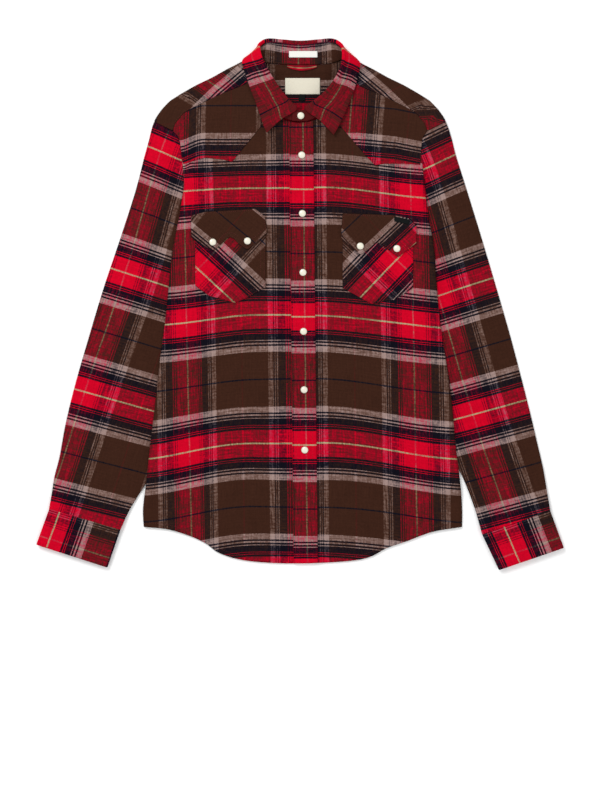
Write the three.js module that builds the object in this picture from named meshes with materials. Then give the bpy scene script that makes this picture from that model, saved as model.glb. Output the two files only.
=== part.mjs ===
// A long-sleeved western snap shirt in brushed plaid cotton, laid out flat on its back and buttoned up.
// Millimetres. +X is the wearer's left, +Y runs from the hem to the collar, +Z is up off the surface.
// The origin is on the underside of the back panel, half way up the laid-out shirt and under its centre front.
import * as THREE from 'three';
import { mergeVertices } from 'three/addons/utils/BufferGeometryUtils.js';

// Driving dimensions.
const CLOTH = 1.2;
const COLLAR_CLOTH = 2.0;
const CUFF_CLOTH = 2.2;
const FLAP_CLOTH = 2.0;
const LABEL_CLOTH = 1.0;
const SEAM_GAP = 0.3;
const LAYER = CLOTH + SEAM_GAP;
const BACK_MID = CLOTH / 2;

const PLACKET_WIDTH = 37;
const PLACKET_AT_MIDDLE = 4.8;
const PLACKET_DRIFT = 0.0102;
const NECKLINE_FRONT_Y = 284;
const HEM_LOWEST = -404;
const HEM_CURVE_ENDS = -250;
const BACK_HEM_SHORTER = 4;
const ARMPIT_Y = 188;
const SHOULDER_CORNER = { x: 199, y: 272 };
const SHOULDER_POINT = { x: 228, y: 286 };
const NECK_CORNER = { x: 79, y: 347 };
const NECK_ON_FOLD = { x: 74, y: 387 };
const SLEEVE_FLAT_HEIGHT = 3.0;
const BACK_OVER_SLEEVE = 3.5;
const LEAF_UNDER_YOKE = 2.8;

const SNAP_RADIUS = 5.4;
const SNAP_HEIGHT = 2.4;
const CUFF_LIFT = SNAP_HEIGHT + SEAM_GAP;

// Both edges of the body as it lies: the side folds up to the armpit, and the armhole seams above it.
const bodySides = [
  { y: -347, right: -244, left: 253 },
  { y: -318, right: -245, left: 253 },
  { y: -278, right: -240, left: 250 },
  { y: -222, right: -234, left: 243 },
  { y: -147, right: -225, left: 236 },
  { y: -83, right: -218, left: 227 },
  { y: -23, right: -210, left: 218 },
  { y: 47, right: -203, left: 212 },
  { y: 90, right: -198, left: 209 },
  { y: 134, right: -189, left: 201 },
  { y: 165, right: -184, left: 197 },
  { y: 188, right: -181, left: 194 },
  { y: 218, right: -183, left: 191 },
  { y: 239, right: -186, left: 189 },
  { y: 257, right: -188, left: 190 },
  { y: 265, right: -191.5, left: 193.5 },
  { y: 272, right: -199, left: 199 },
];

// The seam in front of each shoulder, from the neck out to the armhole.
const shoulderSeam = [
  { x: 79, y: 347 }, { x: 126, y: 328 }, { x: 165.5, y: 309 }, { x: 181, y: 299.5 }, { x: 194, y: 284 },
  { x: 199, y: 272 },
];

// The shirttail hem of the fronts.
const hemLine = [
  { x: -244, y: -346 }, { x: -206, y: -350 }, { x: -170, y: -361 }, { x: -147, y: -372 },
  { x: -128, y: -386 }, { x: -94, y: -397 }, { x: -50, y: -402 }, { x: 0, y: -403 },
  { x: 56, y: -401 }, { x: 94, y: -397 }, { x: 114, y: -391 }, { x: 134, y: -380 },
  { x: 168, y: -368 }, { x: 206, y: -354 }, { x: 253, y: -346 },
];

// Half of the neckline, where the collar stand is sewn to the fronts.
const neckline = [
  { y: 284, x: 0 }, { y: 286, x: 14 }, { y: 291, x: 28 }, { y: 302, x: 45 },
  { y: 317, x: 62 }, { y: 333, x: 73 }, { y: 347, x: 79 },
];

// How far a sleeve lies hidden under the side of the body.
const sleeveUnderBody = [
  { y: 190, width: 0 }, { y: 165, width: 9 }, { y: 130, width: 18 }, { y: 88, width: 24 },
  { y: 0, width: 27 }, { y: -90, width: 30 }, { y: -170, width: 28 }, { y: -220, width: 20 },
  { y: -262, width: 6 }, { y: -290, width: 0 },
];

// How far the fronts stand off the back, up the middle of each front.
const frontLoft = [
  { y: -404, loft: 0.5 }, { y: -350, loft: 1.4 }, { y: -200, loft: 2.0 }, { y: 0, loft: 2.2 },
  { y: 150, loft: 2.4 }, { y: 250, loft: 3.4 }, { y: 310, loft: 4.6 }, { y: 400, loft: 4.9 },
];

// The largest soft folds of the fronts: long low ridges, and troughs where the height is negative.
const bodyFolds = [
  { x: -146, y: 196, turn: -38, length: 110, width: 24, height: 1.2 },
  { x: 152, y: 198, turn: 40, length: 110, width: 24, height: 1.2 },
  { x: -160, y: -60, turn: 84, length: 210, width: 26, height: 1.2 },
  { x: 168, y: -90, turn: 98, length: 220, width: 26, height: 1.2 },
  { x: -92, y: -260, turn: 95, length: 170, width: 26, height: 1.0 },
  { x: 90, y: -230, turn: 82, length: 190, width: 26, height: 1.0 },
  { x: -62, y: -120, turn: 100, length: 170, width: 24, height: -0.8 },
  { x: 120, y: -320, turn: 70, length: 120, width: 24, height: -0.6 },
  { x: 60, y: 40, turn: 88, length: 190, width: 24, height: -0.7 },
];

// Sleeve sections from the armhole to the cuff: outer and inner edge, their heights and the crown between them.
const rightSleeve = [
  { outerX: -227, outerY: 286, innerX: -181, innerY: 188, outerHeight: 6.9, crown: 0 },
  { outerX: -231, outerY: 275, innerX: -181, innerY: 184, outerHeight: 6.6, crown: 0.6 },
  { outerX: -236, outerY: 256, innerX: -180, innerY: 176, outerHeight: 6.0, crown: 1.4 },
  { outerX: -243, outerY: 232, innerX: -177.5, innerY: 158, outerHeight: 5.4, crown: 2.6 },
  { outerX: -257, outerY: 179, innerX: -176, innerY: 126, outerHeight: 4.6, crown: 3.6 },
  { outerX: -281, outerY: 105, innerX: -176, innerY: 76, outerHeight: 4.2, crown: 4.0 },
  { outerX: -307, outerY: 28, innerX: -181, innerY: -4, outerHeight: 4.2, crown: 4.2 },
  { outerX: -330, outerY: -48, innerX: -188, innerY: -86, outerHeight: 4.2, crown: 4.0 },
  { outerX: -352, outerY: -124, innerX: -198, innerY: -168, outerHeight: 4.4, crown: 3.6 },
  { outerX: -367, outerY: -186, innerX: -216, innerY: -234, outerHeight: 4.8, crown: 3.4 },
  { outerX: -376, outerY: -236, innerX: -240, innerY: -278, outerHeight: 5.4, crown: 3.0 },
  { outerX: -384, outerY: -268, innerX: -254, innerY: -300, outerHeight: 6.0, crown: 2.4 },
  { outerX: -388, outerY: -294, innerX: -268, innerY: -324, outerHeight: 7.0, crown: 1.4 },
  { outerX: -392, outerY: -317.5, innerX: -280, innerY: -350.5, outerHeight: 9.6, crown: 0 },
];
const leftSleeve = [
  { outerX: 227, outerY: 286, innerX: 194, innerY: 188, outerHeight: 6.9, crown: 0 },
  { outerX: 232, outerY: 274, innerX: 194, innerY: 184, outerHeight: 6.6, crown: 0.6 },
  { outerX: 237.5, outerY: 256, innerX: 193, innerY: 176, outerHeight: 6.0, crown: 1.4 },
  { outerX: 244, outerY: 232, innerX: 190.5, innerY: 158, outerHeight: 5.4, crown: 2.6 },
  { outerX: 261, outerY: 179, innerX: 186, innerY: 126, outerHeight: 4.6, crown: 3.6 },
  { outerX: 284, outerY: 105, innerX: 184, innerY: 76, outerHeight: 4.2, crown: 4.0 },
  { outerX: 307, outerY: 28, innerX: 188, innerY: -4, outerHeight: 4.2, crown: 4.2 },
  { outerX: 329, outerY: -48, innerX: 195, innerY: -86, outerHeight: 4.2, crown: 4.0 },
  { outerX: 349, outerY: -124, innerX: 208, innerY: -166, outerHeight: 4.4, crown: 3.6 },
  { outerX: 362, outerY: -176, innerX: 226, innerY: -218, outerHeight: 4.8, crown: 3.4 },
  { outerX: 371, outerY: -215, innerX: 248, innerY: -257, outerHeight: 5.4, crown: 3.0 },
  { outerX: 380, outerY: -254, innerX: 261, innerY: -286, outerHeight: 6.0, crown: 2.4 },
  { outerX: 386, outerY: -290, innerX: 274, innerY: -322, outerHeight: 7.0, crown: 1.4 },
  { outerX: 391, outerY: -320.5, innerX: 284, innerY: -357.5, outerHeight: 9.6, crown: 0 },
];

// Cuff corners as they lie: the sewn edge first, then the open edge.
const rightCuff = { outer: [-392, -318], inner: [-280, -351], openOuter: [-412, -373], openInner: [-300, -409] };
const leftCuff = { outer: [391, -321], inner: [284, -358], openOuter: [412, -378], openInner: [310, -413] };

// Each half of the collar from the centre back to the front end: roll, neck seam, the leaf's fall and its free edge.
const leftCollar = [
  { roll: [0, 412.8, 3.9], seam: [0, 376.4, 4.2], fall: [0, 388, 1.05], edge: [0, 368, 1.05] },
  { roll: [28, 414.8, 3.9], seam: [28, 376.8, 4.2], fall: [30, 388, 1.05], edge: [34, 368, 1.05] },
  { roll: [50, 415.6, 6.2], seam: [52, 379.2, 4.6], fall: [57, 394, 1.3], edge: [64, 370, 1.05] },
  { roll: [60.5, 408, 15], seam: [66, 384.4, 5.4], fall: [74.5, 394, 5.4], edge: [84.5, 387, 1.6] },
  { roll: [64, 398, 25], seam: [73, 388.6, 6.6], fall: [80.5, 389.5, 13.4], edge: [91, 380.5, 9.8] },
  { roll: [65, 386, 31], seam: [77.2, 377, 7.6], fall: [84, 380, 20], edge: [93.3, 376.5, 11.6] },
  { roll: [63, 371, 30], seam: [79.6, 357, 8.2], fall: [81, 363, 21], edge: [90.3, 358, 12.4] },
  { roll: [56.5, 356, 26], seam: [72.6, 337.4, 8.6], fall: [75, 345, 19], edge: [84.5, 337, 12.4] },
  { roll: [46.5, 341, 22.5], seam: [59.6, 319.6, 8.8], fall: [65, 326, 17.6], edge: [77, 316, 12.4] },
  { roll: [32.5, 326, 19.5], seam: [42.2, 303.6, 9], fall: [52, 308, 16.2], edge: [67, 293, 12.4] },
  { roll: [19, 316, 17.5], seam: [25.2, 293, 9.6], fall: [41, 296, 15.2], edge: [58.5, 276, 12.2] },
  { roll: [8, 309, 16.5], seam: [8.8, 287.4, 10.6], fall: [31, 287.5, 14.2], edge: [52.5, 265.5, 11.6] },
];

// The right half lies flatter, so its roll is further in.
const rightCollar = [
  ...leftCollar.slice(0, 3),
  { roll: [60, 408, 15], seam: [66, 384.4, 5.4], fall: [74, 393.5, 5.4], edge: [84, 387, 1.6] },
  { roll: [61.5, 398, 23.5], seam: [73, 388.6, 6.6], fall: [78.5, 389.5, 13.4], edge: [89, 382, 9.8] },
  { roll: [58.5, 384.5, 27], seam: [77.2, 377, 7.6], fall: [78, 379.5, 19], edge: [90, 377.5, 11.6] },
  { roll: [52, 370, 25.5], seam: [79.6, 357, 8.2], fall: [71.5, 363, 19.5], edge: [84, 358, 12.4] },
  { roll: [43.5, 355, 22.5], seam: [72.6, 337.4, 8.6], fall: [64, 344, 18], edge: [77, 337, 12.4] },
  { roll: [34, 340.5, 20.5], seam: [59.6, 319.6, 8.8], fall: [55, 325, 17], edge: [69, 316, 12.4] },
  { roll: [23, 326, 18.5], seam: [42.2, 303.6, 9], fall: [45, 308, 16], edge: [61.5, 294, 12.4] },
  { roll: [14, 316, 17.2], seam: [25.2, 293, 9.6], fall: [37, 296.5, 15.2], edge: [56, 278.5, 12.2] },
  { roll: [5, 309, 16.5], seam: [8.8, 287.4, 10.6], fall: [30, 288.5, 14.2], edge: [52, 269, 11.6] },
];

// The stand runs on past the centre front at both ends, the wearer's left end on top.
const standEnds = {
  left: { roll: [-11, 306, 16.4], seam: [-12, 287, 14] },
  right: { roll: [11, 306, 12.4], seam: [12, 287, 10.2] },
};

// Outline of a front yoke below the shoulder: its sloping inner edge, its point and its lower edge.
const leftYoke = [
  { x: 50, y: 294.8 }, { x: 63, y: 280 }, { x: 105, y: 231 }, { x: 117, y: 219 },
  { x: 132, y: 221 }, { x: 160, y: 221 }, { x: 187, y: 219 },
];
const rightYoke = [
  { x: -50, y: 293.5 }, { x: -58, y: 283 }, { x: -94, y: 239 }, { x: -106, y: 224 },
  { x: -121, y: 228 }, { x: -150, y: 230 }, { x: -182, y: 220 },
];

// Western back yoke: a point at the centre back and a level line to each armhole.
const backYokePoint = { x: 0, y: 158 };
const backYokeShoulder = { x: 84, y: 200 };

// Pocket bags and sawtooth flaps, as height over width. The wearer's right pocket lies at negative x.
const rightPocket = {
  bag: [{ x: -163, y: 30 }, { x: -142, y: 15 }, { x: -101, y: 4 }, { x: -80, y: 13 }, { x: -54, y: 28 }],
  top: [{ x: -169, y: 139 }, { x: -147, y: 145 }, { x: -70, y: 150 }, { x: -55, y: 138 }, { x: -51, y: 116 }],
  teeth: [
    { x: -169, y: 105 }, { x: -137, y: 85 }, { x: -121, y: 97 }, { x: -110, y: 106 }, { x: -98, y: 97 },
    { x: -82, y: 87 }, { x: -51, y: 114 },
  ],
  snaps: [{ x: -136, y: 98 }, { x: -82, y: 100 }],
};
const leftPocket = {
  bag: [{ x: 67, y: 27 }, { x: 89, y: 15 }, { x: 112, y: 2 }, { x: 148, y: 9 }, { x: 176, y: 27 }],
  top: [{ x: 65, y: 120 }, { x: 67, y: 143 }, { x: 145, y: 140 }, { x: 172, y: 134 }, { x: 181, y: 125 }],
  teeth: [
    { x: 65, y: 105 }, { x: 94, y: 79 }, { x: 112, y: 91 }, { x: 122, y: 98 }, { x: 134, y: 90 },
    { x: 153, y: 75 }, { x: 181, y: 97 },
  ],
  snaps: [{ x: 94, y: 92 }, { x: 151, y: 88 }],
};

const frontSnapYs = [234, 143, 51, -41, -132, -226];

// Curves and blends.
const smooth = (from, to, at) => {
  const share = Math.min(1, Math.max(0, (at - from) / (to - from)));
  return share * share * (3 - 2 * share);
};
const mix = THREE.MathUtils.lerp;

// A table's column as a function of another: straight between rows, or rounded through them.
function straight(rows, by, key) {
  const sorted = [...rows].sort((a, b) => a[by] - b[by]);
  return (at) => {
    let i = sorted.findIndex((row) => row[by] > at);
    i = i < 0 ? sorted.length - 1 : Math.max(1, i);
    const share = (at - sorted[i - 1][by]) / (sorted[i][by] - sorted[i - 1][by]);
    return mix(sorted[i - 1][key], sorted[i][key], Math.min(1, Math.max(0, share)));
  };
}

function rounded(rows, by, key) {
  const sorted = [...rows].sort((a, b) => a[by] - b[by]);
  const last = sorted.length - 1;
  const slope = (i) => {
    const [a, b] = [sorted[Math.max(0, i - 1)], sorted[Math.min(last, i + 1)]];
    return (b[key] - a[key]) / (b[by] - a[by]);
  };
  return (at) => {
    const inside = Math.min(sorted[last][by], Math.max(sorted[0][by], at));
    let i = sorted.findIndex((row) => row[by] > inside);
    i = i < 0 ? last : Math.max(1, i);
    const [a, b] = [sorted[i - 1], sorted[i]];
    const run = b[by] - a[by];
    const s = (inside - a[by]) / run;
    return a[key] * (1 + 2 * s) * (1 - s) ** 2 + slope(i - 1) * run * s * (1 - s) ** 2
      + b[key] * s * s * (3 - 2 * s) - slope(i) * run * s * s * (1 - s);
  };
}

const rightEdge = rounded(bodySides, 'y', 'right');
const leftEdge = rounded(bodySides, 'y', 'left');
const hemAt = rounded(hemLine, 'x', 'y');
const necklineAt = rounded(neckline, 'y', 'x');
const underBody = rounded(sleeveUnderBody, 'y', 'width');
const loftAt = rounded(frontLoft, 'y', 'loft');
const placketMiddle = (y) => PLACKET_AT_MIDDLE - PLACKET_DRIFT * y;

// How fully the body is raised over a sleeve's hidden edge, with slopes of the given widths inward and up the armhole.
function overSleeve(x, y, slope, armholeSlope) {
  const edge = x < 0 ? rightEdge(Math.min(y, ARMPIT_Y)) : leftEdge(Math.min(y, ARMPIT_Y));
  const fromEdge = Math.abs(edge) - Math.abs(x);
  const hidden = underBody(y) + 3;
  return smooth(202 + armholeSlope, 202, y) * smooth(-318, -284, y) * (1 - smooth(hidden, hidden + slope, fromEdge));
}

// Height of the middle of the back's wall: flat, over the sleeves at the sides, and over the collar leaf at the neck.
function backHeight(x, y) {
  const leafEdge = 366 + 14 * smooth(60, 90, Math.abs(x));
  const overLeaf = smooth(leafEdge - 9, leafEdge, y) * (1 - smooth(104, 130, Math.abs(x)));
  return BACK_MID + BACK_OVER_SLEEVE * overSleeve(x, y, 18, 34) + LEAF_UNDER_YOKE * overLeaf;
}

function foldHeight(x, y, folds) {
  return folds.reduce((sum, fold) => {
    const turn = THREE.MathUtils.degToRad(fold.turn);
    const along = (x - fold.x) * Math.cos(turn) + (y - fold.y) * Math.sin(turn);
    const across = -(x - fold.x) * Math.sin(turn) + (y - fold.y) * Math.cos(turn);
    return sum + fold.height * Math.exp(-((across / fold.width) ** 2) - (along / (fold.length / 2)) ** 2);
  }, 0);
}

// Height of the middle of a front's wall. The side folds roll down to the back below the armpit.
function frontHeight(x, y) {
  const edge = x < 0 ? rightEdge(Math.min(y, ARMPIT_Y)) : leftEdge(Math.min(y, ARMPIT_Y));
  const inwards = Math.max(0, Math.abs(edge) - Math.abs(x));
  const roll = Math.sqrt(1 - (1 - Math.min(1, inwards / 6)) ** 2);
  const side = mix(1, roll, smooth(206, 184, y));
  const fullness = 1.4 * smooth(90, 8, inwards) * smooth(206, 184, y) * smooth(-404, -300, y);
  const hem = smooth(0, 30, y - hemAt(x));
  const loft = side * (loftAt(y) + fullness + hem * foldHeight(x, y, bodyFolds));
  return BACK_MID + LAYER + BACK_OVER_SLEEVE * overSleeve(x, y, 74, 70) + Math.max(0.15, loft);
}

// The wearer's left front steps up over the edge of the right front, and further out beside the neckline.
function leftFrontHeight(x, y) {
  const edge = placketMiddle(y) + PLACKET_WIDTH / 2 + 8 * smooth(256, 278, y) * smooth(300, 292, y);
  return frontHeight(x, y) + (LAYER + 0.1) * (1 - smooth(edge - 0.5, edge + 9, x));
}

// Solids from grids of points.
function closedSolid(top, bottom, loops) {
  const [rows, columns] = [top.length, top[0].length];
  const points = [...top.flat(), ...bottom.flat()];
  const at = (side, i, j) => side * rows * columns + i * columns + (j % columns);
  const faces = [];
  const quad = (a, b, c, d) => faces.push(a, b, c, a, c, d);
  const lastColumn = loops ? columns : columns - 1;
  for (let i = 0; i < rows - 1; i += 1) {
    for (let j = 0; j < lastColumn; j += 1) {
      quad(at(0, i, j), at(0, i, j + 1), at(0, i + 1, j + 1), at(0, i + 1, j));
      quad(at(1, i, j), at(1, i + 1, j), at(1, i + 1, j + 1), at(1, i, j + 1));
    }
  }
  for (let j = 0; j < lastColumn; j += 1) {
    quad(at(0, 0, j + 1), at(0, 0, j), at(1, 0, j), at(1, 0, j + 1));
    quad(at(0, rows - 1, j), at(0, rows - 1, j + 1), at(1, rows - 1, j + 1), at(1, rows - 1, j));
  }
  if (!loops) {
    for (let i = 0; i < rows - 1; i += 1) {
      quad(at(0, i, 0), at(0, i + 1, 0), at(1, i + 1, 0), at(1, i, 0));
      quad(at(0, i + 1, columns - 1), at(0, i, columns - 1), at(1, i, columns - 1), at(1, i + 1, columns - 1));
    }
  }
  const rough = new THREE.BufferGeometry();
  rough.setAttribute('position', new THREE.Float32BufferAttribute(points.flatMap((p) => [p.x, p.y, p.z]), 3));
  rough.setIndex(faces);
  const merged = mergeVertices(rough, 0.004);
  const index = [...merged.index.array];
  const kept = [];
  for (let k = 0; k < index.length; k += 3) {
    const [a, b, c] = index.slice(k, k + 3);
    if (a !== b && b !== c && a !== c) kept.push(a, b, c);
  }
  merged.setIndex(volumeOf(merged, kept) < 0 ? kept.reverse() : kept);
  merged.computeVertexNormals();
  return merged;
}

function volumeOf(geometry, index) {
  const corner = (k) => new THREE.Vector3().fromBufferAttribute(geometry.attributes.position, index[k]);
  let six = 0;
  for (let k = 0; k < index.length; k += 3) six += corner(k).dot(corner(k + 1).cross(corner(k + 2)));
  return six / 6;
}

// Unit normals of a grid of middle points, from the points on each side.
function gridNormals(grid, loops) {
  const [rows, columns] = [grid.length, grid[0].length];
  return grid.map((row, i) => row.map((_, j) => {
    const up = grid[Math.min(rows - 1, i + 1)][j].clone().sub(grid[Math.max(0, i - 1)][j]);
    const before = loops ? (j + columns - 1) % columns : Math.max(0, j - 1);
    const after = loops ? (j + 1) % columns : Math.min(columns - 1, j + 1);
    const normal = row[after].clone().sub(row[before]).cross(up);
    return normal.length() > 1e-6 ? normal.normalize() : new THREE.Vector3(0, 0, 1);
  }));
}

// A wall of even thickness about a grid of middle points.
function wall(grid, thickness, loops = false) {
  const normals = gridNormals(grid, loops);
  const side = (sign) => grid.map((row, i) => row.map((p, j) => (
    p.clone().addScaledVector(normals[i][j], (sign * thickness) / 2))));
  return closedSolid(side(1), side(-1), loops);
}

// A flat-cut cloth that lies on a height: its thickness stands straight up.
function lyingWall(plan, height, thickness) {
  const side = (lift) => plan.map((row) => row.map(([x, y]) => new THREE.Vector3(x, y, height(x, y) + lift)));
  return closedSolid(side(thickness / 2), side(-thickness / 2), false);
}

// Columns at each kink of an outline, with even steps between.
function stops(kinks, step) {
  const sorted = [...new Set(kinks)].sort((a, b) => a - b);
  return sorted.flatMap((from, i) => {
    if (i === sorted.length - 1) return [from];
    const count = Math.max(1, Math.round((sorted[i + 1] - from) / step));
    return Array.from({ length: count }, (_, k) => mix(from, sorted[i + 1], k / count));
  });
}

// A plan between a lower and an upper edge, each given as a height over width.
function planBetween(xs, lower, upper, steps) {
  return Array.from({ length: steps + 1 }, (_, k) => xs.map((x) => [x, mix(lower(x), upper(x), k / steps)]));
}

// Pieces.
const cloth = new THREE.MeshStandardMaterial({ color: 0x7d1a22, roughness: 0.95, metalness: 0 });
const clothBrown = new THREE.MeshStandardMaterial({ color: 0x3d2119, roughness: 0.95, metalness: 0 });
const label = new THREE.MeshStandardMaterial({ color: 0xe9e4d6, roughness: 0.8, metalness: 0 });
const darkTab = new THREE.MeshStandardMaterial({ color: 0x14181b, roughness: 0.7, metalness: 0 });
const pearl = new THREE.MeshStandardMaterial({ color: 0xefe9da, roughness: 0.25, metalness: 0 });

const shirt = new THREE.Group();
function add(name, geometry, material, parent = shirt) {
  const mesh = new THREE.Mesh(geometry, material);
  mesh.name = name;
  parent.add(mesh);
  return mesh;
}

// Rows of a front, from the hem to the neck corner, and its edge there.
const FRONT_TOP_Y = 343;
const armholeRows = [206, 224, 242, 257, 265, SHOULDER_CORNER.y];
const frontRows = [
  ...Array.from({ length: 19 }, (_, k) => mix(HEM_LOWEST, ARMPIT_Y, k / 18)), ...armholeRows,
  NECKLINE_FRONT_Y, 291, 299.5, 309, 319, 330, FRONT_TOP_Y,
];
function outerEdge(side, y) {
  if (y <= SHOULDER_CORNER.y) return side > 0 ? leftEdge(y) : -rightEdge(y);
  return straight(shoulderSeam, 'y', 'x')(y);
}

const FRONT_COLUMNS = 9;
// The plan of a front: columns are close together at the side fold and at the placket.
function frontPlan(side) {
  return frontRows.map((rowY) => {
    const hemShare = Math.min(1, Math.max(0, (HEM_CURVE_ENDS - rowY) / (HEM_CURVE_ENDS - HEM_LOWEST)));
    const raised = (x) => rowY + (hemAt(x) - HEM_LOWEST) * hemShare;
    const outer = side * (outerEdge(side, raised(side * 250)) - (rowY > ARMPIT_Y ? SEAM_GAP : 0));
    const atPlacket = placketMiddle(rowY) - side * (PLACKET_WIDTH / 2 - (side < 0 ? 1.5 : 0));
    const inNeckline = rowY > NECKLINE_FRONT_Y || (side < 0 && rowY === NECKLINE_FRONT_Y);
    const inner = inNeckline ? side * necklineAt(rowY) : atPlacket;
    const width = Math.abs(outer - inner);
    const even = smooth(200, 240, rowY);
    const near = [0, 1.5, 4, 9, 22].map((d, k) => outer - side * mix(d, (k * width) / 17, even));
    const placketEdge = placketMiddle(rowY) + PLACKET_WIDTH / 2;
    const steps = side > 0
      ? [inner, Math.max(placketEdge, inner + 0.07 * width), Math.max(placketEdge + 9, inner + 0.15 * width)]
      : [inner, inner - 0.07 * width, inner - 0.15 * width];
    const far = near[near.length - 1];
    const middle = Array.from({ length: FRONT_COLUMNS }, (_, k) => mix(steps[2], far, (k + 1) / (FRONT_COLUMNS + 1)));
    return [...steps, ...middle, ...near.reverse()].map((x) => [x, raised(x)]);
  });
}

function addFronts() {
  add('right_front', lyingWall(frontPlan(-1), frontHeight, CLOTH), cloth);
  add('left_front', lyingWall(frontPlan(1), leftFrontHeight, CLOTH), cloth);
}

// The placket lies on the left front's edge from the neckline to the hem.
function addPlacket() {
  const rows = [...Array.from({ length: 29 }, (_, k) => mix(HEM_LOWEST + 3, 276, k / 28)), NECKLINE_FRONT_Y];
  const plan = rows.map((y, k) => [-0.5, -0.17, 0.17, 0.5].map((share) => {
    const x = placketMiddle(y) + share * PLACKET_WIDTH;
    if (k === 0) return [x, hemAt(x) + 1];
    return [x, k === rows.length - 1 ? Math.max(y, straight(neckline, 'x', 'y')(Math.abs(x)) - 0.5) : y];
  }));
  add('front_placket', lyingWall(plan, (x, y) => leftFrontHeight(x, y) + LAYER, CLOTH), cloth);
}

function addFrontYokes() {
  const overFront = (height) => (x, y) => height(x, y) + LAYER;
  for (const [name, outline, side, height] of [
    ['right_front_yoke', rightYoke, -1, frontHeight],
    ['left_front_yoke', leftYoke, 1, leftFrontHeight],
  ]) {
    // Its lower edge runs on up the armhole to where the shoulder seam meets it.
    const rows = armholeRows.slice(side > 0 ? 2 : 1);
    const armhole = rows.map((y) => ({ x: side * (outerEdge(side, y) - 0.5), y }));
    const lower = straight([...outline, ...armhole], 'x', 'y');
    const upper = (x) => {
      const out = Math.abs(x);
      return straight(out < NECK_CORNER.x ? neckline : shoulderSeam, 'x', 'y')(out) - 0.4;
    };
    const kinks = [...outline, ...armhole.slice(0, -1), ...shoulderSeam.slice(0, -1)].map((row) => Math.abs(row.x));
    const xs = stops([...kinks, SHOULDER_CORNER.x - 2], 14).map((x) => side * x);
    add(name, lyingWall(planBetween(xs, lower, upper, 6), overFront(height), CLOTH), cloth);
  }
}

// The back armhole follows the front one up from the armpit, then swings out to the shoulder point.
const backArmhole = (side, y) => {
  const low = Math.min(y, 239);
  const front = (side > 0 ? leftEdge(low) : -rightEdge(low)) - 1;
  const share = Math.max(0, (y - 203) / (SHOULDER_POINT.y - 203));
  return mix(front, SHOULDER_POINT.x, Math.min(1, share ** 1.3));
};
const backYokeLine = (x) => {
  const out = Math.abs(x);
  if (out < backYokeShoulder.x) return mix(backYokePoint.y, backYokeShoulder.y, out / backYokeShoulder.x);
  return backYokeShoulder.y;
};

// Past its lower corner the yoke's edge climbs the back armhole.
const yokeCorner = (side) => backArmhole(side, backYokeShoulder.y) - SEAM_GAP;
function yokeLow(x) {
  const side = Math.sign(x);
  if (Math.abs(x) <= yokeCorner(side)) return backYokeLine(x);
  const rows = Array.from({ length: 9 }, (_, k) => {
    const y = mix(backYokeShoulder.y, SHOULDER_POINT.y, k / 8);
    return { x: backArmhole(side, y), y };
  });
  return straight(rows, 'x', 'y')(Math.abs(x)) + 1.4;
}

function backSide(side, y) {
  if (y > ARMPIT_Y) return backArmhole(side, y) - 2 * SEAM_GAP;
  return (side > 0 ? leftEdge(y) : -rightEdge(y)) - 1;
}

function addBackPanel() {
  const offsets = [0, 7, 17, 27, 38, 54];
  const inner = [-backYokeShoulder.x, backYokePoint.x, backYokeShoulder.x];
  const rowCount = 17;
  const plan = Array.from({ length: rowCount + 1 }, (_, k) => {
    const share = k / rowCount;
    const nominal = mix(-347, backYokeShoulder.y, share);
    const [right, left] = [-backSide(-1, nominal), backSide(1, nominal)];
    const xs = [...offsets.map((d) => right + d), ...inner, ...offsets.map((d) => left - d).reverse()];
    return xs.map((x) => [x, mix(hemAt(x) + BACK_HEM_SHORTER, backYokeLine(x) - SEAM_GAP, share)]);
  });
  add('back_panel', lyingWall(plan, backHeight, CLOTH), cloth);
}

// The back yoke folds over each shoulder and runs forward to the front seam, and stops at the neckline between.
const shoulderFold = straight([
  { x: 60, y: 392 }, { x: 92, y: 380 }, { x: 114, y: 369 }, { x: 137, y: 356 },
  { x: 162, y: 344 }, { x: 184, y: 331.5 }, { x: 203, y: 319.5 }, { x: 215, y: 307 }, { x: 223, y: 296 },
  { x: 228, y: 287 },
], 'x', 'y');
const backNeck = rounded([{ x: 0, y: 375.8 }, { x: 28, y: 376 }, { x: 52, y: 378.4 }, { x: 66, y: 383.2 }, { x: 74, y: 385.4 }], 'x', 'y');
const flapEnd = straight([
  { x: 74, y: 386 }, { x: 77, y: 382 }, { x: 80, y: 376 }, { x: 82.5, y: 364 }, { x: 83.5, y: NECK_CORNER.y - 1.5 },
  ...shoulderSeam.slice(1), SHOULDER_POINT,
], 'x', 'y');

function yokeColumn(x, rows) {
  const out = Math.abs(x);
  const low = yokeLow(x);
  const bottom = (y) => backHeight(x, y);
  if (out <= NECK_ON_FOLD.x) {
    const top = backNeck(out) - 0.6;
    return rows.map(([zone, share]) => {
      const y = zone === 'back' ? mix(low, top - 8, share) : mix(top - 8, top, zone === 'roll' ? share / 2 : 0.5 + share / 2);
      return new THREE.Vector3(x, y, bottom(y));
    });
  }
  const crest = shoulderFold(out);
  const under = bottom(crest - 4);
  const over = frontHeight(x, crest - 6);
  const radius = (over - under) / 2;
  const start = crest - radius - CLOTH / 2;
  return rows.map(([zone, share], k) => {
    if (zone === 'back') {
      const y = mix(low, start, mix(share, k / 7, smooth(190, 216, out)));
      return new THREE.Vector3(x, y, bottom(y));
    }
    if (zone === 'roll') {
      const turn = share * Math.PI;
      return new THREE.Vector3(x, start + radius * Math.sin(turn), under + radius * (1 - Math.cos(turn)));
    }
    const end = Math.min(start - 0.5, flapEnd(out) + SEAM_GAP + 0.6 * smooth(195, 201, out));
    const y = mix(start, end, share);
    return new THREE.Vector3(x, y, mix(over, frontHeight(x, y), Math.min(1, share * 2)));
  });
}

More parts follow.
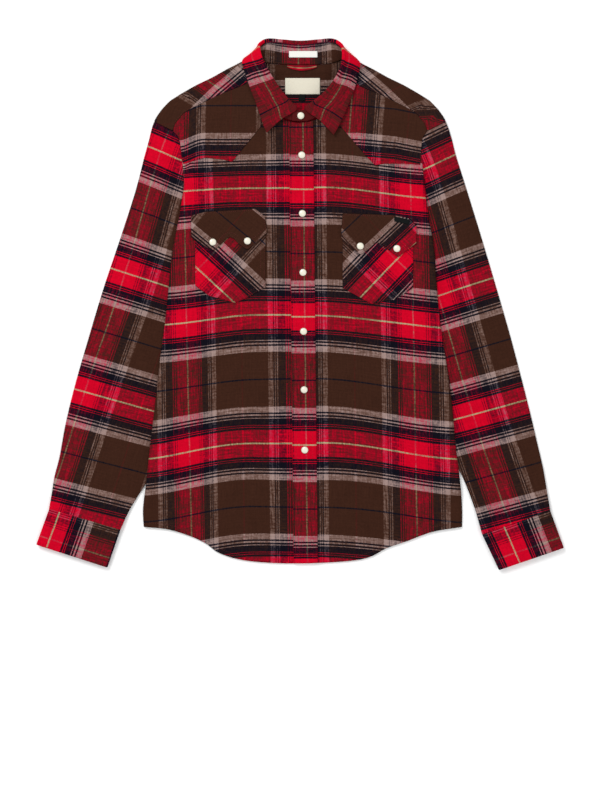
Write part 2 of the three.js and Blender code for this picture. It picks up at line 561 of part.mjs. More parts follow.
function addBackYoke() {
  const rows = [
    ...[0, 0.25, 0.5, 0.75, 0.86, 0.91, 0.955, 1].map((share) => ['back', share]),
    ['roll', 0.25], ['roll', 0.5], ['roll', 0.75], ['roll', 1],
    ['flap', 0.34], ['flap', 0.67], ['flap', 1],
  ];
  const shared = [28, 52, 66, 74, 78, 83.5, 92, 108, 130, 150, 165.5, 194, 199, 208, 216, 223];
  const half = (side) => [...shared, yokeCorner(side), side > 0 ? 181 : 187].map((x) => side * x).sort((a, b) => a - b);
  const columns = [...half(-1), 0, ...half(1)].map((x) => yokeColumn(x, rows));
  const grid = rows.map((_, i) => columns.map((column) => column[i]));
  add('back_yoke', wall(grid, CLOTH), cloth);
}

// A sleeve: a tube pressed flat, from the armhole seam to the cuff. Its inner edge passes under the body.
const CORNER_SHARE = 0.27;
const armholeShare = (y) => mix(CORNER_SHARE, 1, (SHOULDER_CORNER.y - y) / (SHOULDER_CORNER.y - ARMPIT_Y));
const TOP_SHARES = [0.05, 0.15, ...[...armholeRows].reverse().map(armholeShare), 0.96];
const UNDER_SHARES = [0.94, 0.74, 0.5, 0.26, 0.06];

function sleeveGrid(rows, side, ringCount) {
  const numbered = rows.map((row, k) => ({ ...row, k }));
  const track = (key) => rounded(numbered, 'k', key);
  const [outerX, outerY, innerX, innerY] = ['outerX', 'outerY', 'innerX', 'innerY'].map(track);
  const [outerHeight, crownAt] = ['outerHeight', 'crown'].map(track);
  const last = rows.length - 1;
  // The front armhole seam bulges towards the neck, and the bulge fades down the sleeve head.
  const corner = { x: SHOULDER_CORNER.x + 0.5, y: SHOULDER_CORNER.y - 0.2 };
  const seamPoint = (share) => {
    if (share > CORNER_SHARE) {
      const y = mix(corner.y, ARMPIT_Y, (share - CORNER_SHARE) / (1 - CORNER_SHARE));
      return [side * ((side > 0 ? leftEdge(y) : -rightEdge(y)) + SEAM_GAP), y];
    }
    const up = share / CORNER_SHARE;
    return [side * mix(SHOULDER_POINT.x + 0.5, corner.x, up), mix(SHOULDER_POINT.y, corner.y, up)];
  };
  const underSeamPoint = (share) => {
    const y = mix(SHOULDER_POINT.y, ARMPIT_Y, share);
    return [side * (backArmhole(side, y) + 2 * SEAM_GAP), y];
  };
  return Array.from({ length: ringCount + 1 }, (_, ring) => {
    const k = (ring / ringCount) * last;
    const fade = Math.max(0, 1 - k / 5) ** 1.5;
    const [ox, oy, ix, iy] = [outerX(k), outerY(k), innerX(k), innerY(k)];
    // The underside is raised over the placket strip, and all of it rises to the cuff.
    const atCuff = CUFF_LIFT + (CUFF_CLOTH - CLOTH) / 2;
    const lift = smooth(last - 3, last, k) * atCuff;
    const overStrip = Math.max(lift, smooth(last - 5.6, last - 4.4, k) * LAYER);
    const low = BACK_MID + lift;
    const innerTop = mix(SLEEVE_FLAT_HEIGHT - CLOTH / 2, outerHeight(k) - CLOTH / 2, smooth(last - 3, last, k));
    const outerTop = outerHeight(k) - CLOTH / 2;
    const width = Math.hypot(ix - ox, iy - oy);
    const place = (share, seam) => {
      const straightPoint = [mix(ox, ix, share), mix(oy, iy, share)];
      const first = [mix(rows[0].outerX, rows[0].innerX, share), mix(rows[0].outerY, rows[0].innerY, share)];
      const bulge = seam(share);
      return [0, 1].map((axis) => straightPoint[axis] + (bulge[axis] - first[axis]) * fade);
    };
    const topHeight = (share, x, y) => {
      const fromInner = (1 - share) * width;
      const base = mix(innerTop, outerTop, smooth(0.15, 1, 1 - share));
      const crown = crownAt(k) * smooth(34, 74, fromInner) * smooth(0, 34, share * width);
      const seamTop = mix(frontHeight(x, Math.max(y, ARMPIT_Y + 14)), innerTop, smooth(0.75, 0.98, share));
      return mix(base + crown, seamTop, Math.max(0, 1 - k / 2.5));
    };
    const top = TOP_SHARES.map((share) => {
      const [x, y] = place(share, seamPoint);
      return new THREE.Vector3(x, y, topHeight(share, x, y));
    });
    const under = UNDER_SHARES.map((share) => {
      const [x, y] = place(share, underSeamPoint);
      return new THREE.Vector3(x, y, share > 0.1 && share < 0.9 ? BACK_MID + overStrip : low);
    });
    const turn = (share, height) => {
      const upper = place(share, seamPoint);
      const lower = place(share, underSeamPoint);
      return new THREE.Vector3((upper[0] + lower[0]) / 2, (upper[1] + lower[1]) / 2, height);
    };
    return [turn(0.004, (low + top[0].z) / 2), ...top, turn(0.996, (low + top[top.length - 1].z) / 2), ...under];
  });
}

function addSleeves() {
  for (const [name, rows, side] of [['right_sleeve', rightSleeve, -1], ['left_sleeve', leftSleeve, 1]]) {
    add(name, wall(sleeveGrid(rows, side, rows.length - 1), CLOTH, true), cloth);
  }
}

// A cuff: one stiff strip round the wrist, lapped and snapped on the underside.
const CUFF_PATH = [
  { across: 0.62, height: 0 }, { across: 0.8, height: 0 }, { across: 0.93, height: 0 }, { across: 0.985, height: 0.7 },
  { across: 1, height: 2.5 }, { across: 0.985, height: 4.3 }, { across: 0.93, height: 5 }, { across: 0.75, height: 5.1 },
  { across: 0.5, height: 5.2 }, { across: 0.25, height: 5.1 }, { across: 0.07, height: 5 }, { across: 0.015, height: 4.3 },
  { across: 0, height: 2.5 }, { across: 0.015, height: 0.8 }, { across: 0.07, height: 0 }, { across: 0.2, height: 0 },
  { across: 0.3, height: 1.2 }, { across: 0.38, height: 2.5 }, { across: 0.5, height: 2.55 }, { across: 0.6, height: 2.55 },
];
function addCuffs() {
  for (const [side, corners] of [['right', rightCuff], ['left', leftCuff]]) {
    const grid = [0, 0.33, 0.67, 1].map((down) => CUFF_PATH.map(({ across, height }) => {
      const inset = mix(0.012, 0.988, across);
      const sewn = corners.outer.map((v, axis) => mix(v, corners.inner[axis], inset));
      const open = corners.openOuter.map((v, axis) => mix(v, corners.openInner[axis], inset));
      return new THREE.Vector3(
        mix(sewn[0], open[0], down), mix(sewn[1], open[1], down), CUFF_LIFT + CUFF_CLOTH / 2 + height,
      );
    }));
    add(`${side}_cuff`, wall(grid, CUFF_CLOTH), cloth);
    [0.28, 0.72].forEach((down, k) => {
      const sewn = corners.outer.map((v, axis) => mix(v, corners.inner[axis], 0.72));
      const open = corners.openOuter.map((v, axis) => mix(v, corners.openInner[axis], 0.72));
      const snap = add(`${side}_cuff_snap_${k + 1}`, snapShape(), pearl);
      snap.position.set(mix(sewn[0], open[0], down), mix(sewn[1], open[1], down), SNAP_HEIGHT);
      snap.rotation.x = Math.PI;
    });
  }
}

// The strip that binds the sleeve's opening above the cuff, on the underside.
const SLEEVE_PLACKET = { width: 24, length: 118 };
function addSleevePlackets() {
  for (const [name, rows, side] of [['right_sleeve_placket', rightSleeve, -1], ['left_sleeve_placket', leftSleeve, 1]]) {
    const grid = sleeveGrid(rows, side, 60);
    // The strip follows the middle of the underside.
    const middle = TOP_SHARES.length + 2 + UNDER_SHARES.indexOf(0.5);
    const line = grid.map((ring) => ring[middle]);
    const across = grid.map((ring) => ring[middle - 1].clone().sub(ring[middle + 1]).normalize());
    const rowsUp = [];
    let run = 0;
    for (let k = line.length - 1; k > 0 && run < SLEEVE_PLACKET.length; k -= 1) {
      if (k < line.length - 1) run += line[k].distanceTo(line[k + 1]);
      if ((line.length - 1 - k) % 2 === 0) {
        rowsUp.push([-0.5, 0, 0.5].map((share) => line[k].clone()
          .addScaledVector(across[k], share * SLEEVE_PLACKET.width)
          .setZ(Math.max(BACK_MID, line[k].z - LAYER))));
      }
    }
    add(name, wall(rowsUp, CLOTH), cloth);
  }
}

// A pearl snap: a domed cap with a flat rim, standing on z = 0.
function snapShape() {
  const profile = [
    [0, 0], [SNAP_RADIUS - 0.4, 0], [SNAP_RADIUS, 0.6], [SNAP_RADIUS * 0.8, 1.7], [SNAP_RADIUS * 0.42, SNAP_HEIGHT],
    [0, SNAP_HEIGHT],
  ].map(([r, h]) => new THREE.Vector2(r, h));
  const lathe = new THREE.LatheGeometry(profile, 10);
  lathe.rotateX(Math.PI / 2);
  return lathe;
}

// A snap stands on a cloth whose outer face has the given height, square to it.
function addSnap(name, x, y, face) {
  const step = 4;
  const slopeX = (face(x + step, y) - face(x - step, y)) / (2 * step);
  const slopeY = (face(x, y + step) - face(x, y - step)) / (2 * step);
  const normal = new THREE.Vector3(-slopeX, -slopeY, 1).normalize();
  const snap = add(name, snapShape(), pearl);
  snap.quaternion.setFromUnitVectors(new THREE.Vector3(0, 0, 1), normal);
  snap.position.set(x, y, face(x, y)).addScaledVector(normal, SEAM_GAP + 0.15);
}

function addFrontSnaps() {
  const face = (x, y) => leftFrontHeight(x, y) + LAYER + CLOTH / 2;
  frontSnapYs.forEach((y, k) => addSnap(`front_snap_${k + 2}`, placketMiddle(y) + 0.3, y, face));
}

function addPockets() {
  for (const [side, pocket, height] of [
    ['right', rightPocket, frontHeight], ['left', leftPocket, leftFrontHeight],
  ]) {
    const topEdge = straight(pocket.top, 'x', 'y');
    const bagTop = (x) => topEdge(x) - 12;
    const bagXs = stops(pocket.bag.map((row) => row.x), 16);
    const bagPlan = planBetween(bagXs, straight(pocket.bag, 'x', 'y'), bagTop, 6);
    add(`${side}_pocket`, lyingWall(bagPlan, (x, y) => height(x, y) + LAYER, CLOTH), cloth);

    // The flap is sewn to the front above the bag and steps up over its top edge.
    const flapHeight = (x, y) => height(x, y) + CLOTH / 2 + SEAM_GAP + FLAP_CLOTH / 2
      + (LAYER + 0.1) * smooth(0, 9, topEdge(x) - y);
    const flapXs = stops([...pocket.top, ...pocket.teeth].map((row) => row.x), 11);
    const foot = straight(pocket.teeth, 'x', 'y');
    const flapPlan = [
      ...planBetween(flapXs, foot, (x) => topEdge(x) - 10, 3), ...planBetween(flapXs, (x) => topEdge(x) - 5, topEdge, 1),
    ];
    add(`${side}_pocket_flap`, lyingWall(flapPlan, flapHeight, FLAP_CLOTH), cloth);
    pocket.snaps.forEach(({ x, y }, k) => (
      addSnap(`${side}_flap_snap_${k + 1}`, x, y, (px, py) => flapHeight(px, py) + FLAP_CLOTH / 2)));
    if (side === 'left') addTab(topEdge, flapHeight);
  }
}

// A small blank tab is sewn along the top of the left flap.
function addTab(topEdge, flapHeight) {
  const plan = planBetween([147, 155, 163, 170], (x) => topEdge(x) - 9, (x) => topEdge(x) - 1.5, 2);
  const lift = FLAP_CLOTH / 2 + SEAM_GAP + LABEL_CLOTH / 2 + 0.15;
  add('pocket_tab', lyingWall(plan, (x, y) => flapHeight(x, y) + lift, LABEL_CLOTH), darkTab);
}

// The collar: a stand that rises from the neckline to the roll, and a leaf that falls from the roll.
const vector = (list) => new THREE.Vector3(...list);
const mirrored = (list, side) => new THREE.Vector3(side * list[0], list[1], list[2]);

const STEPS_PER_ROW = 2;
const ROLL_DEPTH = 5;
const LEAF_LOWEST = 1.04;

// Both halves end to end, from the wearer's right end to the left end.
function wholeCollar(key) {
  const right = rightCollar.map((row) => mirrored(row[key], -1));
  return [...right.reverse(), ...leftCollar.slice(1).map((row) => vector(row[key]))];
}
function through(points) {
  const curve = new THREE.CatmullRomCurve3(points, false, 'centripetal');
  const count = (points.length - 1) * STEPS_PER_ROW;
  return Array.from({ length: count + 1 }, (_, k) => curve.getPoint(k / count));
}


// The stand's rulings from the roll to the neck seam. The leaf starts from the same ones, short of the stand's ends.
const standRolls = through([vector(standEnds.right.roll), ...wholeCollar('roll'), vector(standEnds.left.roll)]);
const standSeams = through([vector(standEnds.right.seam), ...wholeCollar('seam'), vector(standEnds.left.seam)]);

function standGrid() {
  return [0, 0.33, 0.67, 1].map((share) => standRolls.map((roll, k) => {
    const down = standSeams[k].clone().sub(roll);
    const top = roll.clone().addScaledVector(down.clone().normalize(), ROLL_DEPTH);
    return top.lerp(standSeams[k], share);
  }));
}

function leafGrid() {
  const inner = (list) => list.slice(STEPS_PER_ROW, -STEPS_PER_ROW);
  const [rolls, seams] = [inner(standRolls), inner(standSeams)];
  const [falls, edges] = [through(wholeCollar('fall')), through(wholeCollar('edge'))];
  return rolls.map((roll, k) => {
    const rise = roll.clone().sub(seams[k]).normalize();
    const along = rolls[Math.min(rolls.length - 1, k + 1)].clone().sub(rolls[Math.max(0, k - 1)]);
    const out = rise.clone().cross(along).normalize();
    const from = (up, outwards) => roll.clone().addScaledVector(rise, up).addScaledVector(out, outwards);
    const section = new THREE.CatmullRomCurve3([
      from(0.8 - ROLL_DEPTH, 0), from(-1.6, 0.1), from(0, 1.6), from(-1.8, 3.3), from(-ROLL_DEPTH, 3.6), falls[k], edges[k],
    ], false, 'centripetal');
    return [0, 1 / 6, 2 / 6, 3 / 6, 4 / 6, 0.75, 5 / 6, 0.92, 1].map((share) => {
      const point = section.getPoint(share);
      return point.setZ(Math.max(LEAF_LOWEST, point.z));
    });
  });
}

// The top snap closes the stand, on the face of its left end and square to it.
const TOP_SNAP_X = 1;
function addTopSnap(grid) {
  const upper = grid[0];
  const lower = grid[grid.length - 1];
  const ends = upper.map((p, k) => ({ k, middle: p.clone().lerp(lower[k], 0.5) })).slice(-5);
  const after = ends.findIndex(({ middle }) => middle.x < TOP_SNAP_X);
  const [a, b] = [ends[after - 1], ends[after]];
  const at = a.middle.clone().lerp(b.middle, (a.middle.x - TOP_SNAP_X) / (a.middle.x - b.middle.x));
  const along = b.middle.clone().sub(a.middle);
  const normal = upper[b.k].clone().sub(lower[b.k]).cross(along).normalize();
  const snap = add('front_snap_1', snapShape(), pearl);
  snap.quaternion.setFromUnitVectors(new THREE.Vector3(0, 0, 1), normal);
  snap.position.copy(at).addScaledVector(normal, COLLAR_CLOTH / 2 + SEAM_GAP + 0.1);
}

function addCollar() {
  const stand = standGrid();
  add('collar_stand', wall(stand, COLLAR_CLOTH), cloth);
  addTopSnap(stand);
  add('collar_leaf', wall(leafGrid(), COLLAR_CLOTH), cloth);
}

// Labels inside the neck, all blank, and the loop under the stand.
const NECK_LABEL = { x: [-23, 31], y: [330, 355] };
const SIZE_TAB = { x: [-2, 8], y: [320, 330] };
const STAND_LABEL = { x: [-17, 27], y: [387, 396.5] };
const LOOP = { x: [-20, 26], y: [366.5, 375] };
function addNeckLabels() {
  const onYoke = (x, y) => backHeight(x, y) + CLOTH / 2 + SEAM_GAP + 0.1 + LABEL_CLOTH / 2;
  const patch = ({ x, y }, columns) => planBetween(
    Array.from({ length: columns + 1 }, (_, k) => mix(x[0], x[1], k / columns)), () => y[0], () => y[1], 2);
  add('neck_label', lyingWall(patch(NECK_LABEL, 4), onYoke, LABEL_CLOTH), label);
  add('size_tab', lyingWall(patch(SIZE_TAB, 2), onYoke, LABEL_CLOTH), darkTab);
  const standFace = leftCollar[0].roll[2] + COLLAR_CLOTH / 2 + SEAM_GAP + LABEL_CLOTH / 2 + 0.1;
  add('stand_label', lyingWall(patch(STAND_LABEL, 4), () => standFace, LABEL_CLOTH), label);
  const middle = (LOOP.x[0] + LOOP.x[1]) / 2;
  const half = (LOOP.x[1] - LOOP.x[0]) / 2;
  const sag = (x) => LOOP.y[0] + 5 * ((x - middle) / half) ** 2;
  const loopPlan = planBetween(stops(LOOP.x, 8), sag, () => LOOP.y[1], 2);
  const loopHeight = (x, y) => backHeight(x, y) + LAYER + 0.8 * smooth(374, 369, y);
  add('locker_loop', lyingWall(loopPlan, loopHeight, CLOTH), cloth);
}

addBackPanel();
addBackYoke();
addFronts();
addPlacket();
addFrontYokes();
addSleeves();
addCuffs();
addSleevePlackets();
addCollar();
addPockets();
addFrontSnaps();
addNeckLabels();

export default shirt;
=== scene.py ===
# A long-sleeved western snap shirt in brushed plaid cotton, laid out flat on a pale surface.
# The numbers are millimetres in the frame's axes, and the meshes are metres.
import math

import bpy
import numpy as np
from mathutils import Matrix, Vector


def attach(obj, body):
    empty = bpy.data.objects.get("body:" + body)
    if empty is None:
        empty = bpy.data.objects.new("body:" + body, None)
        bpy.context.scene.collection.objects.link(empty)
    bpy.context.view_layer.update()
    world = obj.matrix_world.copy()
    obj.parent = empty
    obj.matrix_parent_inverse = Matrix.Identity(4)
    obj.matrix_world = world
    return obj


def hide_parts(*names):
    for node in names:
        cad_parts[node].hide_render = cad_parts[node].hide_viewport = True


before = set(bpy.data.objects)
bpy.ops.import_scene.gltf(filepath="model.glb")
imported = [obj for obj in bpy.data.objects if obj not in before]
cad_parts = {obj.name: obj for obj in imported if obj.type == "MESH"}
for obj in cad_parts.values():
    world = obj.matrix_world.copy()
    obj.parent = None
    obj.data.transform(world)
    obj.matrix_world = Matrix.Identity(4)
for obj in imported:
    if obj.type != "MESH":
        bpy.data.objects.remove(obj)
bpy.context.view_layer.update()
scene = bpy.context.scene

# Shared dimensions
cloth = 0.9             # how thick one layer looks
layer = 1.5             # step from one layer to the next
backMid = 0.6
placketWidth = 37
hemLowest = -404
hemCurveEnds = -250
armpitY = 188
shoulderCorner = (199, 272)
shoulderPoint = (228, 286)
necklineFrontY = 284
neckCorner = 79         # where the shoulder seam meets the neckline
yellowWeft = 183.6      # height of the yellow weft line across the chest
mmPerPixel = 1.56
cuffLift = 2.7
cuffCloth = 2.2
flapCloth = 2.0

bodySides = np.array([
    (-347, -244, 253), (-318, -245, 253), (-278, -240, 250), (-222, -234, 243), (-147, -225, 236),
    (-83, -218, 227), (-23, -210, 218), (47, -203, 212), (90, -198, 209), (134, -189, 201),
    (165, -184, 197), (188, -181, 194), (218, -183, 191), (239, -186, 189), (257, -188, 190),
    (265, -191.5, 193.5), (272, -199, 199),
], float)
shoulderSeam = np.array([(79, 347), (126, 328), (165.5, 309), (181, 299.5), (194, 284), (199, 272)], float)
hemLine = np.array([
    (-244, -346), (-206, -350), (-170, -361), (-147, -372), (-128, -386), (-94, -397), (-50, -402), (0, -403),
    (56, -401), (94, -397), (114, -391), (134, -380), (168, -368), (206, -354), (253, -346),
], float)
neckline = np.array([(0, 284), (14, 286), (28, 291), (45, 302), (62, 317), (73, 333), (79, 347)], float)
sleeveUnderBody = np.array([
    (190, 0), (165, 9), (130, 18), (88, 24), (0, 27), (-90, 30), (-170, 28), (-220, 20), (-262, 6), (-290, 0),
], float)
frontLoft = np.array([
    (-404, .5), (-350, 1.4), (-200, 2), (0, 2.2), (150, 2.4), (250, 3.4), (310, 4.6), (400, 4.9),
])

# Broad folds of the fronts: x, y, turn, length, width, height
bodyFolds = [
    (-146, 196, -38, 110, 24, 1.2), (152, 198, 40, 110, 24, 1.2), (-160, -60, 84, 210, 26, 1.2),
    (168, -90, 98, 220, 26, 1.2), (-92, -260, 95, 170, 26, 1.0), (90, -230, 82, 190, 26, 1.0),
    (-62, -120, 100, 170, 24, -.8), (120, -320, 70, 120, 24, -.6), (60, 40, 88, 190, 24, -.7),
]
# Finer creases on top of them
bodyCreases = [
    (-176, 168, -62, 70, 5, .55), (-168, 120, -70, 80, 6, .4), (186, 172, 64, 70, 5, .55),
    (180, 120, 72, 80, 6, .4), (-150, 236, -30, 46, 5, .35), (158, 240, 34, 46, 5, .35),
    (-205, -150, 78, 120, 7, .5), (212, -170, 100, 120, 7, .5), (-120, -300, 88, 90, 6, .35),
    (140, -300, 86, 90, 7, .35), (-40, -60, 92, 140, 6, .25), (46, -180, 84, 120, 7, .3),
    (30, 222, 70, 46, 4, .25), (-30, 214, 108, 46, 4, .25), (100, -40, 96, 90, 6, .25),
    (-110, -20, 84, 100, 6, .25),
]


def smooth(start, end, at):
    share = np.clip((at - start) / (end - start), 0, 1)
    return share * share * (3 - 2 * share)


def mix(a, b, share):
    return a + (b - a) * share


def straight(points):
    points = np.asarray(points, float)
    points = points[np.argsort(points[:, 0])]
    return lambda at: np.interp(at, points[:, 0], points[:, 1])


def rounded(points):
    points = np.asarray(points, float)
    points = points[np.argsort(points[:, 0])]
    xs, ys = points[:, 0], points[:, 1]
    slope = np.empty(len(xs))
    slope[1:-1] = (ys[2:] - ys[:-2]) / (xs[2:] - xs[:-2])
    slope[0] = (ys[1] - ys[0]) / (xs[1] - xs[0])
    slope[-1] = (ys[-1] - ys[-2]) / (xs[-1] - xs[-2])

    def value(at):
        at = np.clip(at, xs[0], xs[-1])
        i = np.clip(np.searchsorted(xs, at, side="right"), 1, len(xs) - 1)
        run = xs[i] - xs[i - 1]
        s = (at - xs[i - 1]) / run
        return (ys[i - 1] * (1 + 2 * s) * (1 - s) ** 2 + slope[i - 1] * run * s * (1 - s) ** 2
                + ys[i] * s * s * (3 - 2 * s) - slope[i] * run * s * s * (1 - s))
    return value


def stops(kinks, step):
    kinks = sorted(set(kinks))
    found = []
    for a, b in zip(kinks, kinks[1:]):
        count = max(1, round((b - a) / step))
        found += [mix(a, b, k / count) for k in range(count)]
    return np.array(found + [kinks[-1]], float)


rightEdge = rounded(bodySides[:, [0, 1]])
leftEdge = rounded(bodySides[:, [0, 2]])
hemAt = rounded(hemLine)
necklineAt = rounded(neckline[:, ::-1])
necklineOver = straight(neckline)
seamOver = straight(shoulderSeam)
seamOut = straight(shoulderSeam[:, ::-1])
underBody = rounded(sleeveUnderBody)
loftAt = rounded(frontLoft)


def placketMiddle(y):
    return 4.8 - .0102 * y


def sideEdge(x, y):
    return np.where(x < 0, -rightEdge(y), leftEdge(y))


def overSleeve(x, y, slope, armholeSlope):
    inwards = sideEdge(x, np.minimum(y, armpitY)) - np.abs(x)
    hidden = underBody(y) + 3
    return (smooth(202 + armholeSlope, 202, y) * smooth(-318, -284, y)
            * (1 - smooth(hidden, hidden + slope, inwards)))


def backHeight(x, y):
    leafEdge = 366 + 14 * smooth(60, 90, np.abs(x))
    overLeaf = smooth(leafEdge - 9, leafEdge, y) * (1 - smooth(104, 130, np.abs(x)))
    return backMid + 3.5 * overSleeve(x, y, 18, 34) + 2.8 * overLeaf


def ridges(x, y, folds):
    total = 0
    for fx, fy, turn, length, width, height in folds:
        c, s = math.cos(math.radians(turn)), math.sin(math.radians(turn))
        along, across = (x - fx) * c + (y - fy) * s, -(x - fx) * s + (y - fy) * c
        across = across + 0.12 * width * np.sin(along / (0.21 * length) + fx)
        total = total + height * np.exp(-(across / width) ** 2 - (along / (length / 2)) ** 2)
    return total


# Small waves that no cloth is without: turn, wavelength, height, phase
waves = [
    (12, 150, .22, .4), (97, 118, .2, 2.1), (58, 83, .13, 4.0), (141, 71, .12, 1.2),
    (80, 47, .07, 5.2), (23, 39, .05, 3.1), (115, 31, .04, 0.9), (165, 26, .03, 2.7),
]


def ripple(x, y, turn=0.0):
    total = 0
    for angle, length, height, phase in waves:
        a = math.radians(angle + turn)
        along = x * math.cos(a) + y * math.sin(a)
        across = -x * math.sin(a) + y * math.cos(a)
        bend = .9 * np.sin(2 * np.pi * across / (2.7 * length))
        total = total + height * np.sin(2 * np.pi * along / length + phase + bend)
    return total


def frontHeight(x, y):
    inwards = np.maximum(0, sideEdge(x, np.minimum(y, armpitY)) - np.abs(x))
    roll = np.sqrt(np.maximum(0, 1 - (1 - np.minimum(1, inwards / 6)) ** 2))
    side = mix(1, roll, smooth(206, 184, y))
    fullness = 1.4 * smooth(90, 8, inwards) * smooth(206, 184, y) * smooth(-404, -300, y)
    hem = smooth(0, 30, y - hemAt(x))
    fine = smooth(0, 14, y - hemAt(x)) * (ridges(x, y, bodyCreases) + .8 * ripple(x, y))
    loft = side * (loftAt(y) + fullness + hem * ridges(x, y, bodyFolds) + fine)
    return backMid + layer + 3.5 * overSleeve(x, y, 74, 70) + np.maximum(.15, loft)


def leftFrontHeight(x, y):
    edge = placketMiddle(y) + placketWidth / 2 + 8 * smooth(256, 278, y) * smooth(300, 292, y)
    return frontHeight(x, y) + (layer + .1) * (1 - smooth(edge - .5, edge + 9, x))


# The wearer's right lies at -x, and the left front laps over it
sides = {-1: ("right", frontHeight), 1: ("left", leftFrontHeight)}


# Meshes from grids of points
def gridNormals(grid, loops=False):
    up = np.empty_like(grid)
    up[1:-1] = grid[2:] - grid[:-2]
    up[0], up[-1] = grid[1] - grid[0], grid[-1] - grid[-2]
    if loops:
        along = np.roll(grid, -1, 1) - np.roll(grid, 1, 1)
    else:
        along = np.empty_like(grid)
        along[:, 1:-1] = grid[:, 2:] - grid[:, :-2]
        along[:, 0], along[:, -1] = grid[:, 1] - grid[:, 0], grid[:, -1] - grid[:, -2]
    normal = np.cross(along, up)
    size = np.linalg.norm(normal, axis=2, keepdims=True)
    return np.where(size > 1e-9, normal / np.maximum(size, 1e-9), np.array([0, 0, 1.0]))


# Width, length and area of the cut, in metres
def cutSize(grid, loops=False):
    if loops:
        grid = np.concatenate([grid, grid[:, :1]], 1)
    wide = np.linalg.norm(np.diff(grid, axis=1), axis=2).sum(1).max()
    long = np.linalg.norm(np.diff(grid, axis=0), axis=2).sum(0).max()
    a, b = grid[1:, 1:] - grid[:-1, :-1], grid[1:, :-1] - grid[:-1, 1:]
    area = float(np.linalg.norm(np.cross(a, b), axis=2).sum() / 2)
    return (wide / 1000, long / 1000), min(area, wide * long) / 1e6


def placed(name, data, location=(0, 0, 0)):
    obj = bpy.data.objects.new(name, data)
    obj.location = location
    scene.collection.objects.link(obj)
    return obj


def makeMesh(name, points, faces, materials, weave=None, marks=None):
    mesh = bpy.data.meshes.new(name)
    mesh.from_pydata((np.asarray(points, float) / 1000).tolist(), [], faces)
    mesh.polygons.foreach_set("use_smooth", np.ones(len(mesh.polygons), bool))
    if weave is not None:
        field = mesh.attributes.new("weave", "FLOAT_VECTOR", "POINT")
        field.data.foreach_set("vector", np.asarray(weave, np.float32).ravel())
    for material in materials:
        mesh.materials.append(material)
    if marks is not None:
        mesh.polygons.foreach_set("material_index", marks)
    mesh.update()
    return placed(name, mesh)


# A cloth of even thickness about a grid of middle points, with rounded edges
def shell(name, grid, weave, thickness, material, loops=False):
    rows, columns = grid.shape[:2]
    normal = gridNormals(grid, loops)
    top, bottom = grid + normal * thickness / 2, grid - normal * thickness / 2
    number = np.arange(rows * columns).reshape(rows, columns)
    wide = np.concatenate([number, number[:, :1]], 1) if loops else number
    a, b, c, d = wide[:-1, :-1], wide[:-1, 1:], wide[1:, 1:], wide[1:, :-1]
    upper = np.stack([a, b, c, d], -1).reshape(-1, 4)
    total = rows * columns
    lower = np.stack([a, d, c, b], -1).reshape(-1, 4) + total
    flat, flatWeave = grid.reshape(-1, 3), weave.reshape(-1, 3)
    rims, rimPoints, rimWeave, count = [], [], [], 2 * total

    def away(edge, inside):
        v = edge - inside
        return v / np.maximum(np.linalg.norm(v, axis=-1, keepdims=True), 1e-9)

    if loops:
        rings = [(number[0], away(grid[0], grid[1])), (number[-1][::-1], away(grid[-1], grid[-2])[::-1])]
    else:
        ring = np.concatenate([number[0], number[1:-1, -1], number[-1][::-1], number[1:-1, 0][::-1]])
        rings = [(ring, np.concatenate([
            away(grid[0], grid[1]), away(grid[1:-1, -1], grid[1:-1, -2]), away(grid[-1], grid[-2])[::-1],
            away(grid[1:-1, 0], grid[1:-1, 1])[::-1],
        ]))]
    for ring, out in rings:
        rimPoints.append(flat[ring] + out * thickness * .32)
        rimWeave.append(flatWeave[ring])
        mine = np.arange(len(ring)) + count
        count += len(ring)
        nextRing, nextMine = np.roll(ring, -1), np.roll(mine, -1)
        rims.append(np.stack([ring, mine, nextMine, nextRing], -1))
        rims.append(np.stack([mine, ring + total, nextRing + total, nextMine], -1))
    points = np.concatenate([top.reshape(-1, 3), bottom.reshape(-1, 3), *rimPoints])
    faces = np.concatenate([upper, lower, *rims]).tolist()
    return makeMesh(name, points, faces, [material], np.concatenate([flatWeave, flatWeave, *rimWeave]))


def weaveOf(u, v):
    return np.stack(np.broadcast_arrays(u, v, 0.0), -1)


def addCloth(name, grid, weave, thickness=cloth, material=None, loops=False):
    obj = shell(name + "_cloth", grid, weave, thickness, material or plaid, loops)
    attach(obj, "root")
    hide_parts(name)
    (wide, long), area = cutSize(grid, loops)
    print("piece", name, len(obj.data.polygons), "faces, cut", round(wide, 3), round(long, 3))


# Distance to a polyline and the place along it, for every point
def distanceTo(x, y, line):
    best = np.full(np.shape(x), 1e9)
    place = np.zeros(np.shape(x))
    run = 0.0
    line = np.asarray(line, float)
    for (ax, ay), (bx, by) in zip(line, line[1:]):
        dx, dy = bx - ax, by - ay
        size = math.hypot(dx, dy)
        share = np.clip(((x - ax) * dx + (y - ay) * dy) / size ** 2, 0, 1)
        d = np.hypot(x - ax - share * dx, y - ay - share * dy)
        place = np.where(d < best, run + share * size, place)
        best = np.minimum(best, d)
        run += size
    return best, place


